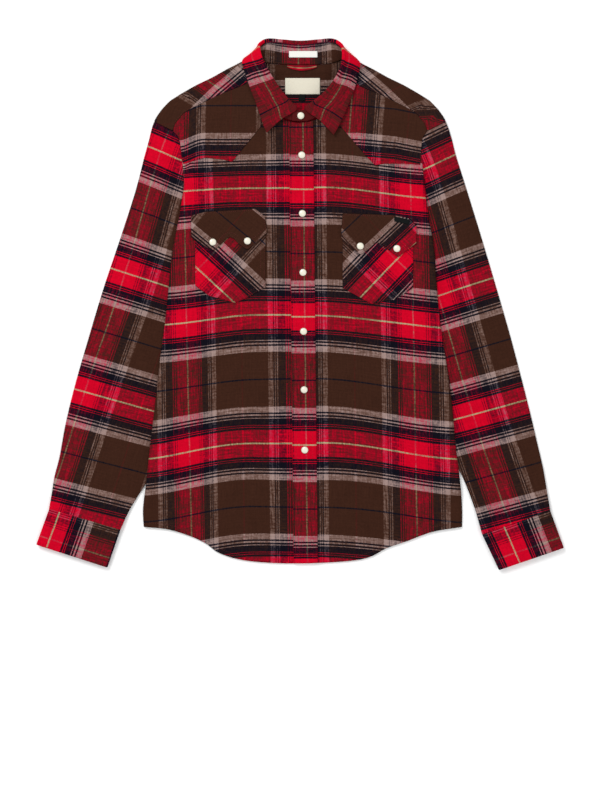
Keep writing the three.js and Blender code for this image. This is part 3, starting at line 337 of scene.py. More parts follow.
# Shader helpers
class Num:
    def __init__(self, tree, socket):
        self.tree, self.socket = tree, socket

    def math(self, kind, *others):
        node = self.tree.nodes.new("ShaderNodeMath")
        node.operation = kind
        for k, item in enumerate([self, *others]):
            if isinstance(item, Num):
                self.tree.links.new(item.socket, node.inputs[k])
            else:
                node.inputs[k].default_value = item
        return Num(self.tree, node.outputs[0])

    def flipped(self, kind, other):
        node = self.tree.nodes.new("ShaderNodeMath")
        node.operation = kind
        node.inputs[0].default_value = other
        self.tree.links.new(self.socket, node.inputs[1])
        return Num(self.tree, node.outputs[0])

    def __add__(self, other):
        return self.math("ADD", other)

    def __radd__(self, other):
        return self.flipped("ADD", other)

    def __sub__(self, other):
        return self.math("SUBTRACT", other)

    def __rsub__(self, other):
        return self.flipped("SUBTRACT", other)

    def __mul__(self, other):
        return self.math("MULTIPLY", other)

    def __rmul__(self, other):
        return self.flipped("MULTIPLY", other)

    def __truediv__(self, other):
        return self.math("DIVIDE", other)

    def __rtruediv__(self, other):
        return self.flipped("DIVIDE", other)


class Shader:
    def __init__(self, name):
        self.material = bpy.data.materials.new(name)
        self.material.use_nodes = True
        self.tree = self.material.node_tree
        self.surface = self.tree.nodes["Principled BSDF"]

    def node(self, kind, settings=None, **sockets):
        node = self.tree.nodes.new(kind)
        for key, value in (settings or {}).items():
            setattr(node, key, value)
        for key, value in sockets.items():
            self.put(node.inputs[int(key[1:]) if key[1:].isdigit() else key], value)
        return node

    def put(self, socket, value):
        if isinstance(value, Num):
            value = value.socket
        if isinstance(value, bpy.types.NodeSocket):
            self.tree.links.new(value, socket)
        else:
            socket.default_value = value

    def look(self, values):
        for key, value in values.items():
            self.put(self.surface.inputs[key], value)

    def num(self, socket):
        return Num(self.tree, socket)

    def ramp(self, at, stops):
        node = self.node("ShaderNodeValToRGB", i0=at)
        node.color_ramp.interpolation = "CONSTANT"
        elements = node.color_ramp.elements
        elements[0].position, elements[0].color = 0, stops[0][1]
        elements.remove(elements[1])
        for place, colour in stops[1:]:
            elements.new(place).color = colour
        return node

    def noise(self, vector, scale, detail):
        return self.num(self.node("ShaderNodeTexNoise", Vector=vector, Scale=scale, Detail=detail).outputs[0])

    # Noise over the cloth, less its mean, so that it goes both ways
    def uneven(self, x, y, detail):
        return self.over(x, y, detail) - .5

    def over(self, x, y, detail):
        return self.noise(self.node("ShaderNodeCombineXYZ", i0=x, i1=y).outputs[0], 1.0, detail)

    def vector(self, kind, a, **others):
        return self.node("ShaderNodeVectorMath", {"operation": kind}, i0=a, **others).outputs[0]


def linear(red, green, blue):
    return [c / 3294.6 if c < 10.3 else ((c / 255 + .055) / 1.055) ** 2.4 for c in (red, green, blue)]


def colour(red, green, blue):
    return (*linear(red, green, blue), 1)


# Two yarns blend by their cube roots, close to how brushed threads look side by side
def yarn(red, green, blue, weight):
    return (*[c ** (1 / 3) for c in linear(red, green, blue)], weight / 4)


# Weft yarns show more than warp yarns, and each has its own weight
weftRepeat, warpRepeat = 199.4, 182.0
brightness = .93
weftYarns = {
    "yellow": yarn(176, 168, 126, 2.4), "red": yarn(206, 2, 36, 1.25), "navy": yarn(14, 13, 24, 1.9),
    "light": yarn(159, 133, 127, 1.7), "brown": yarn(60, 34, 24, .9), "line": yarn(14, 15, 27, 2.2),
}
warpYarns = {
    "yellow": yarn(172, 158, 118, .62), "red": yarn(206, 2, 36, .5), "navy": yarn(20, 17, 24, .5),
    "light": yarn(165, 141, 133, .45), "brown": yarn(60, 34, 24, 1.0), "line": yarn(84, 26, 24, .4),
}
weftLines = [
    (0, "yellow"), (1.0, "red"), (21.4, "navy"), (24.8, "red"), (25.7, "navy"), (27.9, "red"),
    (28.7, "navy"), (38.6, "light"), (40.1, "navy"), (43.2, "light"), (45.2, "navy"), (48.0, "light"),
    (57.2, "brown"), (98.5, "line"),
]
warpLines = [
    (0, "yellow"), (.85, "red"), (18.7, "navy"), (20.2, "red"), (22.0, "navy"), (23.8, "red"),
    (25.4, "navy"), (37.3, "light"), (39.0, "navy"), (40.6, "light"), (42.2, "navy"), (44.2, "light"),
    (51.6, "brown"), (89.9, "line"),
]


def plaidMaterial():
    s = Shader("brushedPlaid")
    field = s.node("ShaderNodeAttribute", {"attribute_name": "weave"})
    parts = s.node("ShaderNodeSeparateXYZ", i0=field.outputs["Vector"])
    u, v = s.num(parts.outputs[0]), s.num(parts.outputs[1])
    fuzz, otherFuzz = s.uneven(u * .55, v * .55, 3.0), s.uneven(u * .55 + 40.0, v * .55, 3.0)
    warpAt = (u + fuzz * 2.4).math("PINGPONG", warpRepeat / 2) / (warpRepeat / 2)
    weftAt = (v + otherFuzz * 1.7).math("PINGPONG", weftRepeat / 2) / (weftRepeat / 2)
    warp = s.ramp(warpAt, [(d / (warpRepeat / 2), warpYarns[c]) for d, c in warpLines])
    weft = s.ramp(weftAt, [(d / (weftRepeat / 2), weftYarns[c]) for d, c in weftLines])
    warpWeight, weftWeight = s.num(warp.outputs[1]), s.num(weft.outputs[1])
    # Slubs run along each yarn, and the twill's steps across both
    alongWeft, alongWarp = s.uneven(u * .035, v * .42, 3.0), s.uneven(u * .42, v * .035, 3.0)
    twill = s.uneven((u + v) * .5, (u - v) * .12, 1.0)
    mottle = s.uneven(u * .3, v * .3, 2.0)
    share = weftWeight / (warpWeight + weftWeight)
    share = share + alongWeft * .9 - alongWarp * 1.05 + twill * .3 + mottle * .75
    share = share.math("MINIMUM", .97).math("MAXIMUM", .03)
    roots = s.node("ShaderNodeMix", {"data_type": "RGBA"}, i0=share, i6=warp.outputs[0], i7=weft.outputs[0])
    cloudy, speck = s.uneven(u * .03, v * .03, 3.0), s.uneven(u * .34, v * .34, 3.0)
    shade = brightness + cloudy * .07 + speck * .16 + (alongWeft + alongWarp) * .12
    root = s.vector("SCALE", roots.outputs[2], Scale=shade)
    cube = s.vector("MULTIPLY", s.vector("MULTIPLY", root, i1=root), i1=root)
    rib, nap = s.over((u + v) * 1.1, (u - v) * .3, 1.0), s.over(u * .7, v * .7, 2.0)
    bump = s.node("ShaderNodeBump", Strength=.4, Distance=.0003, Height=rib * .5 + nap)
    s.look({"Base Color": cube, "Roughness": .95, "Specular IOR Level": .04, "Normal": bump.outputs[0]})
    return s.material


def plainMaterial(name, colour, roughness, **more):
    s = Shader(name)
    place = s.node("ShaderNodeTexCoord")
    grain = s.noise(place.outputs["Object"], more.get("grain", 900.0), 2.0) - .5
    tint = s.vector("SCALE", colour[:3], Scale=1 + grain * more.get("vary", .08))
    s.look({
        "Base Color": tint, "Roughness": roughness + grain * .1, "Metallic": more.get("metal", 0.0),
        "Coat Weight": more.get("coat", 0.0), "Coat Roughness": .12,
        "Specular IOR Level": more.get("spec", .5),
    })
    if more.get("bump"):
        bump = s.node("ShaderNodeBump", Strength=.3, Distance=more["bump"], Height=grain)
        s.look({"Normal": bump.outputs[0]})
    return s.material


plaid = plaidMaterial()
threadMaterial = plainMaterial("redThread", colour(96, 22, 26), .8)
labelMaterial = plainMaterial("creamLabel", colour(212, 206, 188), .85, grain=700.0, bump=.0001)
stripMaterial = plainMaterial("whiteLabel", colour(222, 220, 214), .7, grain=700.0, bump=.0001)
tabMaterial = plainMaterial("darkTab", colour(10, 13, 13), .8, spec=.1, grain=700.0, bump=.0001)
pearlMaterial = plainMaterial("pearl", colour(222, 218, 200), .28, coat=.7, grain=260.0, vary=.06)
rimMaterial = plainMaterial("snapRim", colour(176, 168, 152), .35, metal=.7, vary=.05)
print("materials made")


# Where the plaid's lines lie on each piece: u across from a yellow warp line, v up from a yellow weft line
def px(*values):
    return [(value - 300) * mmPerPixel for value in values]


warpAtChest = {
    -1: (px(128, 158, 184, 210.4, 269, 301), [-98, -48, 0, 48, 134, 182]),
    1: (px(262, 293.5, 323.6, 382, 410.5, 442.5, 468), [-50, 0, 48, 134, 182, 230, 270]),
}
warpAtHem = {
    -1: (px(130, 161, 192, 216, 273, 305), [-98, -48, 0, 48, 134, 182]),
    1: (px(266, 297, 326.5, 387, 417.7, 449, 475), [-50, 0, 48, 134, 182, 230, 270]),
}
droopDepth = {
    -1: straight([(-420, 21), (-215, 22), (-16, 13), (184, 6.2), (300, 5)]),
    1: straight([(-420, 21), (-215, 22.5), (-16, 18), (184, 14.5), (300, 12)]),
}


def droop(x, y):
    out = np.abs(x)
    far = np.maximum(sideEdge(x, np.minimum(y, armpitY)), 150)
    right = smooth(70, far + 25, out) * 1.15
    left = smooth(30, far + 30, out) * 1.15
    pulled = 7 * smooth(14, 0, sideEdge(x, y) - out) * smooth(200, 226, y) * smooth(268, 246, y)
    return np.where(x < 0, right * droopDepth[-1](y) + pulled, left * droopDepth[1](y))


def frontWeave(x, y, side):
    share = np.clip((y - 190) / (-390 - 190), -.2, 1)
    u = mix(np.interp(x, *warpAtChest[side]), np.interp(x, *warpAtHem[side]), share)
    v = y + droop(x, y) - yellowWeft + .8 * np.sin(x / 37 + y / 60)
    return u, v + 4.7 * smooth(0, 48, v)


def frontYokeWeave(x, y, side):
    out = np.abs(x)
    if side < 0:
        u = x + 199.4 - .02 * (y - 270)
        fall = 12 * smooth(150, 190, out)
    else:
        u = x - 76.9 - (y - 270) * .073
        fall = np.interp(out, [90, 118, 150, 182, 199], [0, 2.4, 5.5, 12, 15])
    return u, y + fall - 211.4


# Body
def frontGrid(side):
    ys = stops([
        hemLowest, hemCurveEnds, armpitY, shoulderCorner[1], necklineFrontY, 291, 299.5, 309, 328, 343,
    ], 2.7)
    rows = []
    across = np.linspace(0, 1, 94)
    for y in ys:
        hemShare = np.clip((hemCurveEnds - y) / (hemCurveEnds - hemLowest), 0, 1)
        edgeY = y + (hemAt(side * 250) - hemLowest) * hemShare
        outer = sideEdge(np.array(side * 1.0), edgeY) if y <= shoulderCorner[1] else seamOut(y)
        outer = outer - (.3 if y > armpitY else 0)
        inNeck = y > necklineFrontY or (side < 0 and y == necklineFrontY)
        lap = placketWidth / 2 - (1.5 if side < 0 else 0)
        inner = side * necklineAt(y) if inNeck else placketMiddle(y) - side * lap
        x = mix(inner, side * outer, across)
        rows.append(np.stack([x, y + (hemAt(x) - hemLowest) * hemShare], -1))
    plan = np.array(rows)
    if side < 0:
        plan = plan[:, ::-1]
    return plan


def lying(plan, height):
    x, y = plan[..., 0], plan[..., 1]
    return np.stack([x, y, height(x, y)], -1)


def addFronts():
    for side, (name, height) in sides.items():
        plan = frontGrid(side)
        u, v = frontWeave(plan[..., 0], plan[..., 1], side)
        addCloth(f"{name}_front", lying(plan, height), weaveOf(u, v))


def addPlacket():
    ys = stops([hemLowest + 1, hemLowest + 40, 276, necklineFrontY], 2.6)
    shares = np.linspace(-.5, .5, 19)
    plan = []
    for k, y in enumerate(ys):
        x = placketMiddle(y) + shares * placketWidth
        low = smooth(hemLowest + 40, hemLowest, y) * (hemAt(x) - hemLowest)
        top = np.maximum(y, necklineOver(np.abs(x)) - .5) if k == len(ys) - 1 else y
        plan.append(np.stack([x, top + low], -1))
    plan = np.array(plan)
    x, y = plan[..., 0], plan[..., 1]
    inside = placketWidth / 2 - np.abs(x - placketMiddle(y))
    puff = .35 * smooth(0, 4, inside) + .1 * np.sin(y / 5.2) * np.exp(-((inside - 3) / 3) ** 2)
    grid = lying(plan, lambda a, b: leftFrontHeight(a, b) + layer - .2)
    grid[..., 2] += puff
    v = y + 2.7 - yellowWeft + .8 * np.sin(y / 60)
    v = v + 4.2 * smooth(0, 48, v)
    addCloth("front_placket", grid, weaveOf(x - placketMiddle(y) - 2.6, v), thickness=1.1)


def planBetween(xs, lower, upper, shares):
    lowY, highY = lower(xs), upper(xs)
    return np.stack([np.stack([xs, mix(lowY, highY, s)], -1) for s in shares])


frontYokes = {
    1: [(50, 294.8), (63, 280), (105, 231), (117, 219), (132, 221), (160, 221), (187, 219)],
    -1: [(50, 293.5), (58, 283), (94, 239), (106, 224), (121, 228), (150, 230), (182, 220)],
}


def yokeOutline(side):
    armholeYs = [224, 242, 257, 265, 272][side > 0:]
    armhole = [(float(sideEdge(np.array(side * 1.0), y)) - .5, y) for y in armholeYs]
    lower = straight(frontYokes[side] + armhole)
    return lower, lambda out: np.where(out < neckCorner, necklineOver(out), seamOver(out)) - .4


def addFrontYokes():
    for side, (name, height) in sides.items():
        lower, upper = yokeOutline(side)
        outs = stops([p[0] for p in frontYokes[side]] + [neckCorner, 126, 165.5, 181, 190, 194, 197], 2.4)
        plan = planBetween(outs, lower, upper, np.linspace(0, 1, 45))
        if side < 0:
            plan = plan[:, ::-1].copy()
            plan[..., 0] *= -1
        x, y = plan[..., 0], plan[..., 1]
        u, v = frontYokeWeave(x, y, side)
        grid = lying(plan, lambda a, b: height(a, b) + layer - .25)
        d, s = distanceTo(x, y, [(side * a, b) for a, b in frontYokes[side]])
        grid[..., 2] += .35 * smooth(0, 5, d) - .15 + .12 * np.sin(s / 3.4) * np.exp(-((d - 5) / 4) ** 2)
        addCloth(f"{name}_front_yoke", grid, weaveOf(u, v), thickness=1.0)


# Back
def backArmhole(side, y):
    low = np.minimum(y, 239)
    front = (leftEdge(low) if side > 0 else -rightEdge(low)) - 1
    share = np.maximum(0, (y - 203) / (shoulderPoint[1] - 203))
    return mix(front, shoulderPoint[0], np.minimum(1, share ** 1.3))


backYokeTip, backYokeSide, backYokeLevel = 158, 84, 200


def backYokeLine(x):
    return mix(backYokeTip, backYokeLevel, np.minimum(1, np.abs(x) / backYokeSide))


def addBackPanel():
    count = 110
    across = np.linspace(0, 1, 92)
    rows = []
    for k in range(count + 1):
        share = k / count
        y = mix(bodySides[0, 0], backYokeLevel, share)
        ends = [-(backArmhole(-1, y) - .6) if y > armpitY else float(rightEdge(y)) + 1,
                (backArmhole(1, y) - .6) if y > armpitY else float(leftEdge(y)) - 1]
        x = mix(ends[0], ends[1], across)
        rows.append(np.stack([x, mix(hemAt(x) + 4, backYokeLine(x) - .3, share)], -1))
    plan = np.array(rows)
    x, y = plan[..., 0], plan[..., 1]
    addCloth("back_panel", lying(plan, backHeight), weaveOf(x, y - yellowWeft))


shoulderFold = straight([
    (60, 392), (92, 380), (114, 369), (137, 356), (162, 344), (184, 331.5), (203, 319.5), (215, 307),
    (223, 296), (228, 287),
])
backNeck = rounded([(0, 375.8), (28, 376), (52, 378.4), (66, 383.2), (74, 385.4)])
flapEnd = straight([
    (74, 386), (77, 382), (80, 376), (82.5, 364), (83.5, 345.5), *shoulderSeam[1:].tolist(), shoulderPoint,
])
neckSeamEnd = 74        # past it the yoke rolls over to the front


def yokeCorner(side):
    return float(backArmhole(side, backYokeLevel)) - .3


def yokeLow(x):
    side = 1 if x >= 0 else -1
    if abs(x) <= yokeCorner(side):
        return float(backYokeLine(x))
    ys = np.linspace(backYokeLevel, shoulderPoint[1], 9)
    return float(np.interp(abs(x), backArmhole(side, ys), ys)) + 1.4


def backYokeWeave(x, y, zone):
    out = abs(x)
    if zone == "back" or out <= neckSeamEnd:
        return 91 + (x - 5.1) * .89, y - 294.9
    # s runs along the front shoulder seam from the neck, and d is the height above it
    d, s = (float(n) for n in distanceTo(np.array(out), np.array(y), shoulderSeam))
    v = 53 + (d - 29.7 + .33 * s)
    turn = -41.7 - .56 * d if x < 0 else -145 - .71 * d
    return s + turn, v


def addBackYoke():
    zones = [("back", k / 46) for k in range(47)]
    zones += [(zone, k / count) for zone, count in (("roll", 10), ("flap", 18)) for k in range(1, count + 1)]
    halves = stops([
        28, 52, 66, neckSeamEnd, 77, 80, 82.5, 83.5, 92, 108, 130, 165.5, 181, 194, 199, 208, 216, 223, 227,
    ], 2.6)
    columns, weaves = [], []
    for x in [*(-halves[::-1]), *stops([-28, 0, 28], 2.8)[1:-1], *halves]:
        out, low = abs(x), yokeLow(x)
        column, weave = [], []
        if out <= neckSeamEnd:
            top = float(backNeck(out)) - .6
            for y in [*np.linspace(low, top - 8, 47), *np.linspace(top - 8, top, 29)[1:]]:
                column.append((x, y, float(backHeight(np.array(x), np.array(y)))))
                weave.append((*backYokeWeave(x, y, "back"), 0))
        else:
            crest = float(shoulderFold(out))
            under = float(backHeight(np.array(x), np.array(crest - 4)))
            over = float(frontHeight(np.array(x), np.array(crest - 6)))
            radius = (over - under) / 2
            start = crest - radius - .6
            end = min(start - .5, float(flapEnd(out)) + .3 + .6 * float(smooth(195, 201, out)))
            for zone, share in zones:
                if zone == "back":
                    y = mix(low, start, share)
                    z = float(backHeight(np.array(x), np.array(y)))
                elif zone == "roll":
                    y = start + radius * math.sin(share * math.pi)
                    z = under + radius * (1 - math.cos(share * math.pi))
                else:
                    y = mix(start, end, share)
                    z = mix(over, float(frontHeight(np.array(x), np.array(y))), min(1, share * 2))
                column.append((x, y, z))
                weave.append((*backYokeWeave(x, y, zone), 0))
        columns.append(column)
        weaves.append(weave)
    grid = np.array(columns).transpose(1, 0, 2)
    weave = np.array(weaves).transpose(1, 0, 2)
    addCloth("back_yoke", grid, weave)


# Sleeves: outer x and y, inner x and y, height of the outer edge, crown
sleeves = {
    -1: np.array([
        (-227, 286, -181, 188, 6.9, 0), (-231, 275, -181, 184, 6.6, .6), (-236, 256, -180, 176, 6.0, 1.4),
        (-243, 232, -177.5, 158, 5.4, 2.6), (-257, 179, -176, 126, 4.6, 3.6),
        (-281, 105, -176, 76, 4.2, 4.0), (-307, 28, -181, -4, 4.2, 4.2), (-330, -48, -188, -86, 4.2, 4.0),
        (-352, -124, -198, -168, 4.4, 3.6), (-367, -186, -216, -234, 4.8, 3.4),
        (-376, -236, -240, -278, 5.4, 3.0), (-384, -268, -254, -300, 6.0, 2.4),
        (-388, -294, -268, -324, 7.0, 1.4), (-392, -317.5, -280, -350.5, 9.6, 0),
    ]),
    1: np.array([
        (227, 286, 194, 188, 6.9, 0), (232, 274, 194, 184, 6.6, .6), (237.5, 256, 193, 176, 6.0, 1.4),
        (244, 232, 190.5, 158, 5.4, 2.6), (261, 179, 186, 126, 4.6, 3.6), (284, 105, 184, 76, 4.2, 4.0),
        (307, 28, 188, -4, 4.2, 4.2), (329, -48, 195, -86, 4.2, 4.0), (349, -124, 208, -166, 4.4, 3.6),
        (362, -176, 226, -218, 4.8, 3.4), (371, -215, 248, -257, 5.4, 3.0), (380, -254, 261, -286, 6.0, 2.4),
        (386, -290, 274, -322, 7.0, 1.4), (391, -320.5, 284, -357.5, 9.6, 0),
    ]),
}
cornerShare = .27
# The plaid on each sleeve: v, the centre line's x and y, the weft's turn, and where the yellow warp line runs
sleeveCloth = {
    -1: [(-200, -131, 420, 24, -9), (-120, -163.6, 347, 24, -9), (0, -211, 237, 23.3, -6.8),
         (199.4, -250.4, 43.3, 18, -23.4), (398.8, -290.2, -148.2, 15.7, -47.8),
         (548, -323, -292.5, 14.3, -61), (640, -345.7, -381.6, 14.3, -69)],
    1: [(-200, 130.6, 403.5, 26, -63), (-120, 165.6, 331.6, 26, -62), (0, 216.8, 223, 25.2, -59),
        (199.4, 259, 28.9, 18.1, -45), (398.8, 297.2, -163.4, 15.3, -28.3), (540, 328.4, -301, 15.2, -14),
        (640, 354.6, -397.5, 15.2, -4)],
}


def sleeveWeave(x, y, side):
    rows = np.array(sleeveCloth[side], float)
    cx, cy, turn, yellow = (rounded(rows[:, [0, k]]) for k in (1, 2, 3, 4))
    v = np.interp(-y, -rows[:, 2], rows[:, 0])
    for _ in range(6):
        a = np.radians(turn(v))
        ax, ay = side * np.sin(a), -np.cos(a)
        v = v + .9 * ((x - cx(v)) * ax + (y - cy(v)) * ay)
        v = np.clip(v, rows[0, 0] + 1, rows[-1, 0] - 1)
    a = np.radians(turn(v))
    wx, wy = -side * np.cos(a), -np.sin(a)
    inward = (x - cx(v)) * wx + (y - cy(v)) * wy
    if side < 0:
        return inward - yellow(v), v
    return -inward - yellow(v), v


sleeveFolds = {
    -1: [(-214, 150, 68, 120, 9, .9), (-246, 60, 74, 130, 12, .8), (-284, -90, 76, 150, 11, .7),
         (-320, -210, 62, 90, 9, .8), (-300, -270, 40, 70, 8, .6), (-352, -270, 80, 60, 7, .5),
         (-225, 210, 60, 60, 8, .5)],
    1: [(222, 140, 112, 120, 9, .9), (256, 40, 106, 130, 12, .8), (292, -110, 104, 150, 11, .7),
        (318, -220, 118, 90, 9, .8), (306, -280, 140, 70, 8, .6), (352, -280, 100, 60, 7, .5),
        (228, 200, 120, 60, 8, .5)],
}


def sleeveGrid(side, ringCount, topShares, underShares):
    rows = sleeves[side]
    last = len(rows) - 1
    k = np.linspace(0, last, ringCount + 1)[:, None]
    track = [rounded(np.stack([np.arange(last + 1.0), rows[:, c]], -1)) for c in range(6)]
    ox, oy, ix, iy, outerHeight, crown = (t(k) for t in track)
    fade = np.maximum(0, 1 - k / 5) ** 1.5
    lift = smooth(last - 3, last, k) * (cuffLift + .5)
    overStrip = np.maximum(lift, smooth(last - 5.6, last - 4.4, k) * layer)
    low = backMid + lift
    innerTop = mix(2.4, outerHeight - .6, smooth(last - 3, last, k))
    outerTop = outerHeight - .6
    width = np.hypot(ix - ox, iy - oy)
    cornerX, cornerY = shoulderCorner[0] + .5, shoulderCorner[1] - .2

    def frontSeam(share):
        y = mix(cornerY, armpitY, np.clip((share - cornerShare) / (1 - cornerShare), 0, 1))
        edge = (leftEdge(y) if side > 0 else -rightEdge(y)) + .3
        up = share / cornerShare
        x = np.where(share > cornerShare, edge, mix(shoulderPoint[0] + .5, cornerX, up))
        return side * x, np.where(share > cornerShare, y, mix(shoulderPoint[1], cornerY, up))

    def backSeam(share):
        y = mix(shoulderPoint[1], armpitY, share)
        return side * (backArmhole(side, y) + .6), y

    def place(share, seam):
        sx, sy = seam(share)
        fx, fy = mix(rows[0, 0], rows[0, 2], share), mix(rows[0, 1], rows[0, 3], share)
        return mix(ox, ix, share) + (sx - fx) * fade, mix(oy, iy, share) + (sy - fy) * fade

    s = np.asarray(topShares)[None, :]
    x, y = place(s, frontSeam)
    fromInner = (1 - s) * width
    base = mix(innerTop, outerTop, smooth(.15, 1, 1 - s))
    body = crown * smooth(34, 74, fromInner) * smooth(0, 34, s * width)
    seamTop = mix(frontHeight(x, np.maximum(y, armpitY + 14)), innerTop, smooth(.75, .98, s))
    z = mix(base + body, seamTop, np.maximum(0, 1 - k / 2.5))
    clear = smooth(36, 70, fromInner) * smooth(2, 20, s * width)
    clear = clear * smooth(0, 2.5, k) * smooth(last, last - 1.2, k)
    gathers = .5 * smooth(last - 1.6, last - .1, k) * smooth(0, 8, fromInner)
    gathers = gathers * np.sin(s * width / 2.6 + 1.3 * np.sin(s * 9))
    z = z + clear * (ridges(x, y, sleeveFolds[side]) + .9 * ripple(x, y, 40)) + .45 * gathers
    roll = np.sqrt(np.maximum(0, 1 - (1 - np.minimum(1, s * width / 5)) ** 2))
    rollIn = np.sqrt(np.maximum(0, 1 - (1 - np.minimum(1, fromInner / 2)) ** 2))
    z = mix(low + .2, z, np.maximum(.05, np.minimum(roll, rollIn)))
    top = np.stack(np.broadcast_arrays(x, y, z), -1)
    t = np.asarray(underShares)[None, :]
    ux, uy = place(t, backSeam)
    edgeLift = .35 * (1 - np.minimum(1, np.minimum(t, 1 - t) * width / 3))
    uz = np.where((t > .06) & (t < .94), backMid + overStrip, low) + edgeLift
    return top, np.stack(np.broadcast_arrays(ux, uy, uz), -1)


# Points around a sleeve lie closer together near its two edges
def aroundShares(count):
    even = np.linspace(0, 1, count)
    return mix(even, .5 - .5 * np.cos(np.pi * even), .45) * .988 + .006


def addSleeves():
    for side, (name, _) in sides.items():
        grid = np.concatenate(sleeveGrid(side, 230, aroundShares(62), aroundShares(34)[::-1]), 1)
        u, v = sleeveWeave(grid[..., 0], grid[..., 1], side)
        addCloth(f"{name}_sleeve", grid, weaveOf(u, v), loops=True)


cuffs = {
    -1: ((-392, -318), (-280, -351), (-412, -373), (-300, -409)),
    1: ((391, -321), (284, -358), (412, -378), (310, -413)),
}
# The cuff's wrap: share across it and height, from the hidden end under the lap to the free end
cuffPath = np.array([
    (.62, 0), (.8, 0), (.93, 0), (.985, .7), (1, 2.5), (.985, 4.3), (.93, 5), (.75, 5.1), (.5, 5.2),
    (.25, 5.1), (.07, 5), (.015, 4.3), (0, 2.5), (.015, .8), (.07, 0), (.2, 0), (.3, 1.2), (.38, 2.5),
    (.5, 2.55), (.6, 2.55),
])


def addCuffs():
    at = np.arange(len(cuffPath), dtype=float)
    fine = np.linspace(0, len(cuffPath) - 1, 150)
    across = rounded(np.stack([at, cuffPath[:, 0]], -1))(fine)
    height = rounded(np.stack([at, cuffPath[:, 1]], -1))(fine)
    down = np.linspace(0, 1, 26)[:, None]
    for side, (name, _) in sides.items():
        outer, inner, openOuter, openInner = (np.array(c, float) for c in cuffs[side])
        inset = mix(.012, .988, across)[None, :]
        sewn = [mix(outer[k], inner[k], inset) for k in (0, 1)]
        free = [mix(openOuter[k], openInner[k], inset) for k in (0, 1)]
        x, y = (mix(sewn[k], free[k], down) for k in (0, 1))
        puff = .35 * np.sin(np.pi * np.clip(down / .12, 0, 1))
        puff = puff + .12 * np.sin(across * 70)[None, :] * np.exp(-((down - .06) / .06) ** 2)
        z = cuffLift + cuffCloth / 2 + height[None, :] + puff * smooth(3.5, 5, height)[None, :]
        grid = np.stack(np.broadcast_arrays(x, y, z), -1)
        wide = 117 if side < 0 else 114
        v = (across - .1425) * wide if side < 0 else (.683 - across) * wide
        u = (down - (.755 if side < 0 else .72)) * 60
        addCloth(f"{name}_cuff", grid, weaveOf(u, v[None, :]), thickness=1.9)


def addSleevePlackets():
    for side, (name, _) in sides.items():
        under = sleeveGrid(side, 420, [.2, .5], [.55, .5, .45])[1]
        lineMid = under[:, 1]
        run = arcLength(lineMid[::-1])[::-1]
        use = np.nonzero(run < 118)[0][::3]
        lean = under[use, 0] - under[use, 2]
        lean /= np.linalg.norm(lean, axis=1, keepdims=True)
        rows = np.stack([lineMid[use] + lean * share * 24 for share in np.linspace(-.5, .5, 9)], 1)
        rows[..., 2] = np.maximum(backMid, rows[..., 2] - layer + .1)
        u, v = sleeveWeave(rows[..., 0], rows[..., 1], side)
        addCloth(f"{name}_sleeve_placket", rows, weaveOf(u, v))


# Pockets
pockets = {
    -1: {
        "bag": [(-163, 30), (-142, 15), (-101, 4), (-80, 13), (-54, 28)],
        "top": [(-169, 139), (-147, 145), (-70, 150), (-55, 138), (-51, 116)],
        "teeth": [(-169, 105), (-139, 86.3), (-136, 85.5), (-133, 87), (-121, 97), (-118, 101.5), (-114, 105),
                  (-109, 106.3), (-104, 104.5), (-100, 100.5), (-96, 96), (-85, 88.5), (-82, 87.4), (-79, 89),
                  (-51, 114)],
    },
    1: {
        "bag": [(67, 27), (89, 15), (112, 2), (148, 9), (176, 27)],
        "top": [(65, 120), (67, 143), (145, 140), (172, 134), (181, 125)],
        "teeth": [(65, 105), (91, 81.5), (94, 79.8), (97, 81), (112, 91), (115, 94.6), (119, 97.6), (123, 98),
                  (127, 96), (131, 92), (134, 89.5), (150, 77), (153, 75.6), (156, 77), (181, 97)],
    },
}


def bagWeave(x, y, side):
    if side < 0:
        dx, dy = x + 158.6, y - 55.9
        return dx * .735 - dy * .678, dx * .678 + dy * .735
    dx, dy = x - 150.4, y - 70.8
    return dx * .69 + dy * .72, -dx * .72 + dy * .69


def flapWeave(x, y, side):
    if side < 0:
        u = 51.6 + ((x + 147.7) * .774 - (y - 143.4) * .633) * .883
        return u, 53 + ((x + 148.2) * .633 + (y - 107.6) * .774) * 1.13
    return 48 + (x - 77.4) * .731 + (y - 102) * .682, 53 - ((x - 121.2) * .682 - (y - 107) * .731) * 1.1


def flapFace(side):
    height, top = sides[side][1], straight(pockets[side]["top"])
    return lambda x, y: height(x, y) + .9 + flapCloth / 2 + (layer + .1) * smooth(0, 9, top(x) - y)


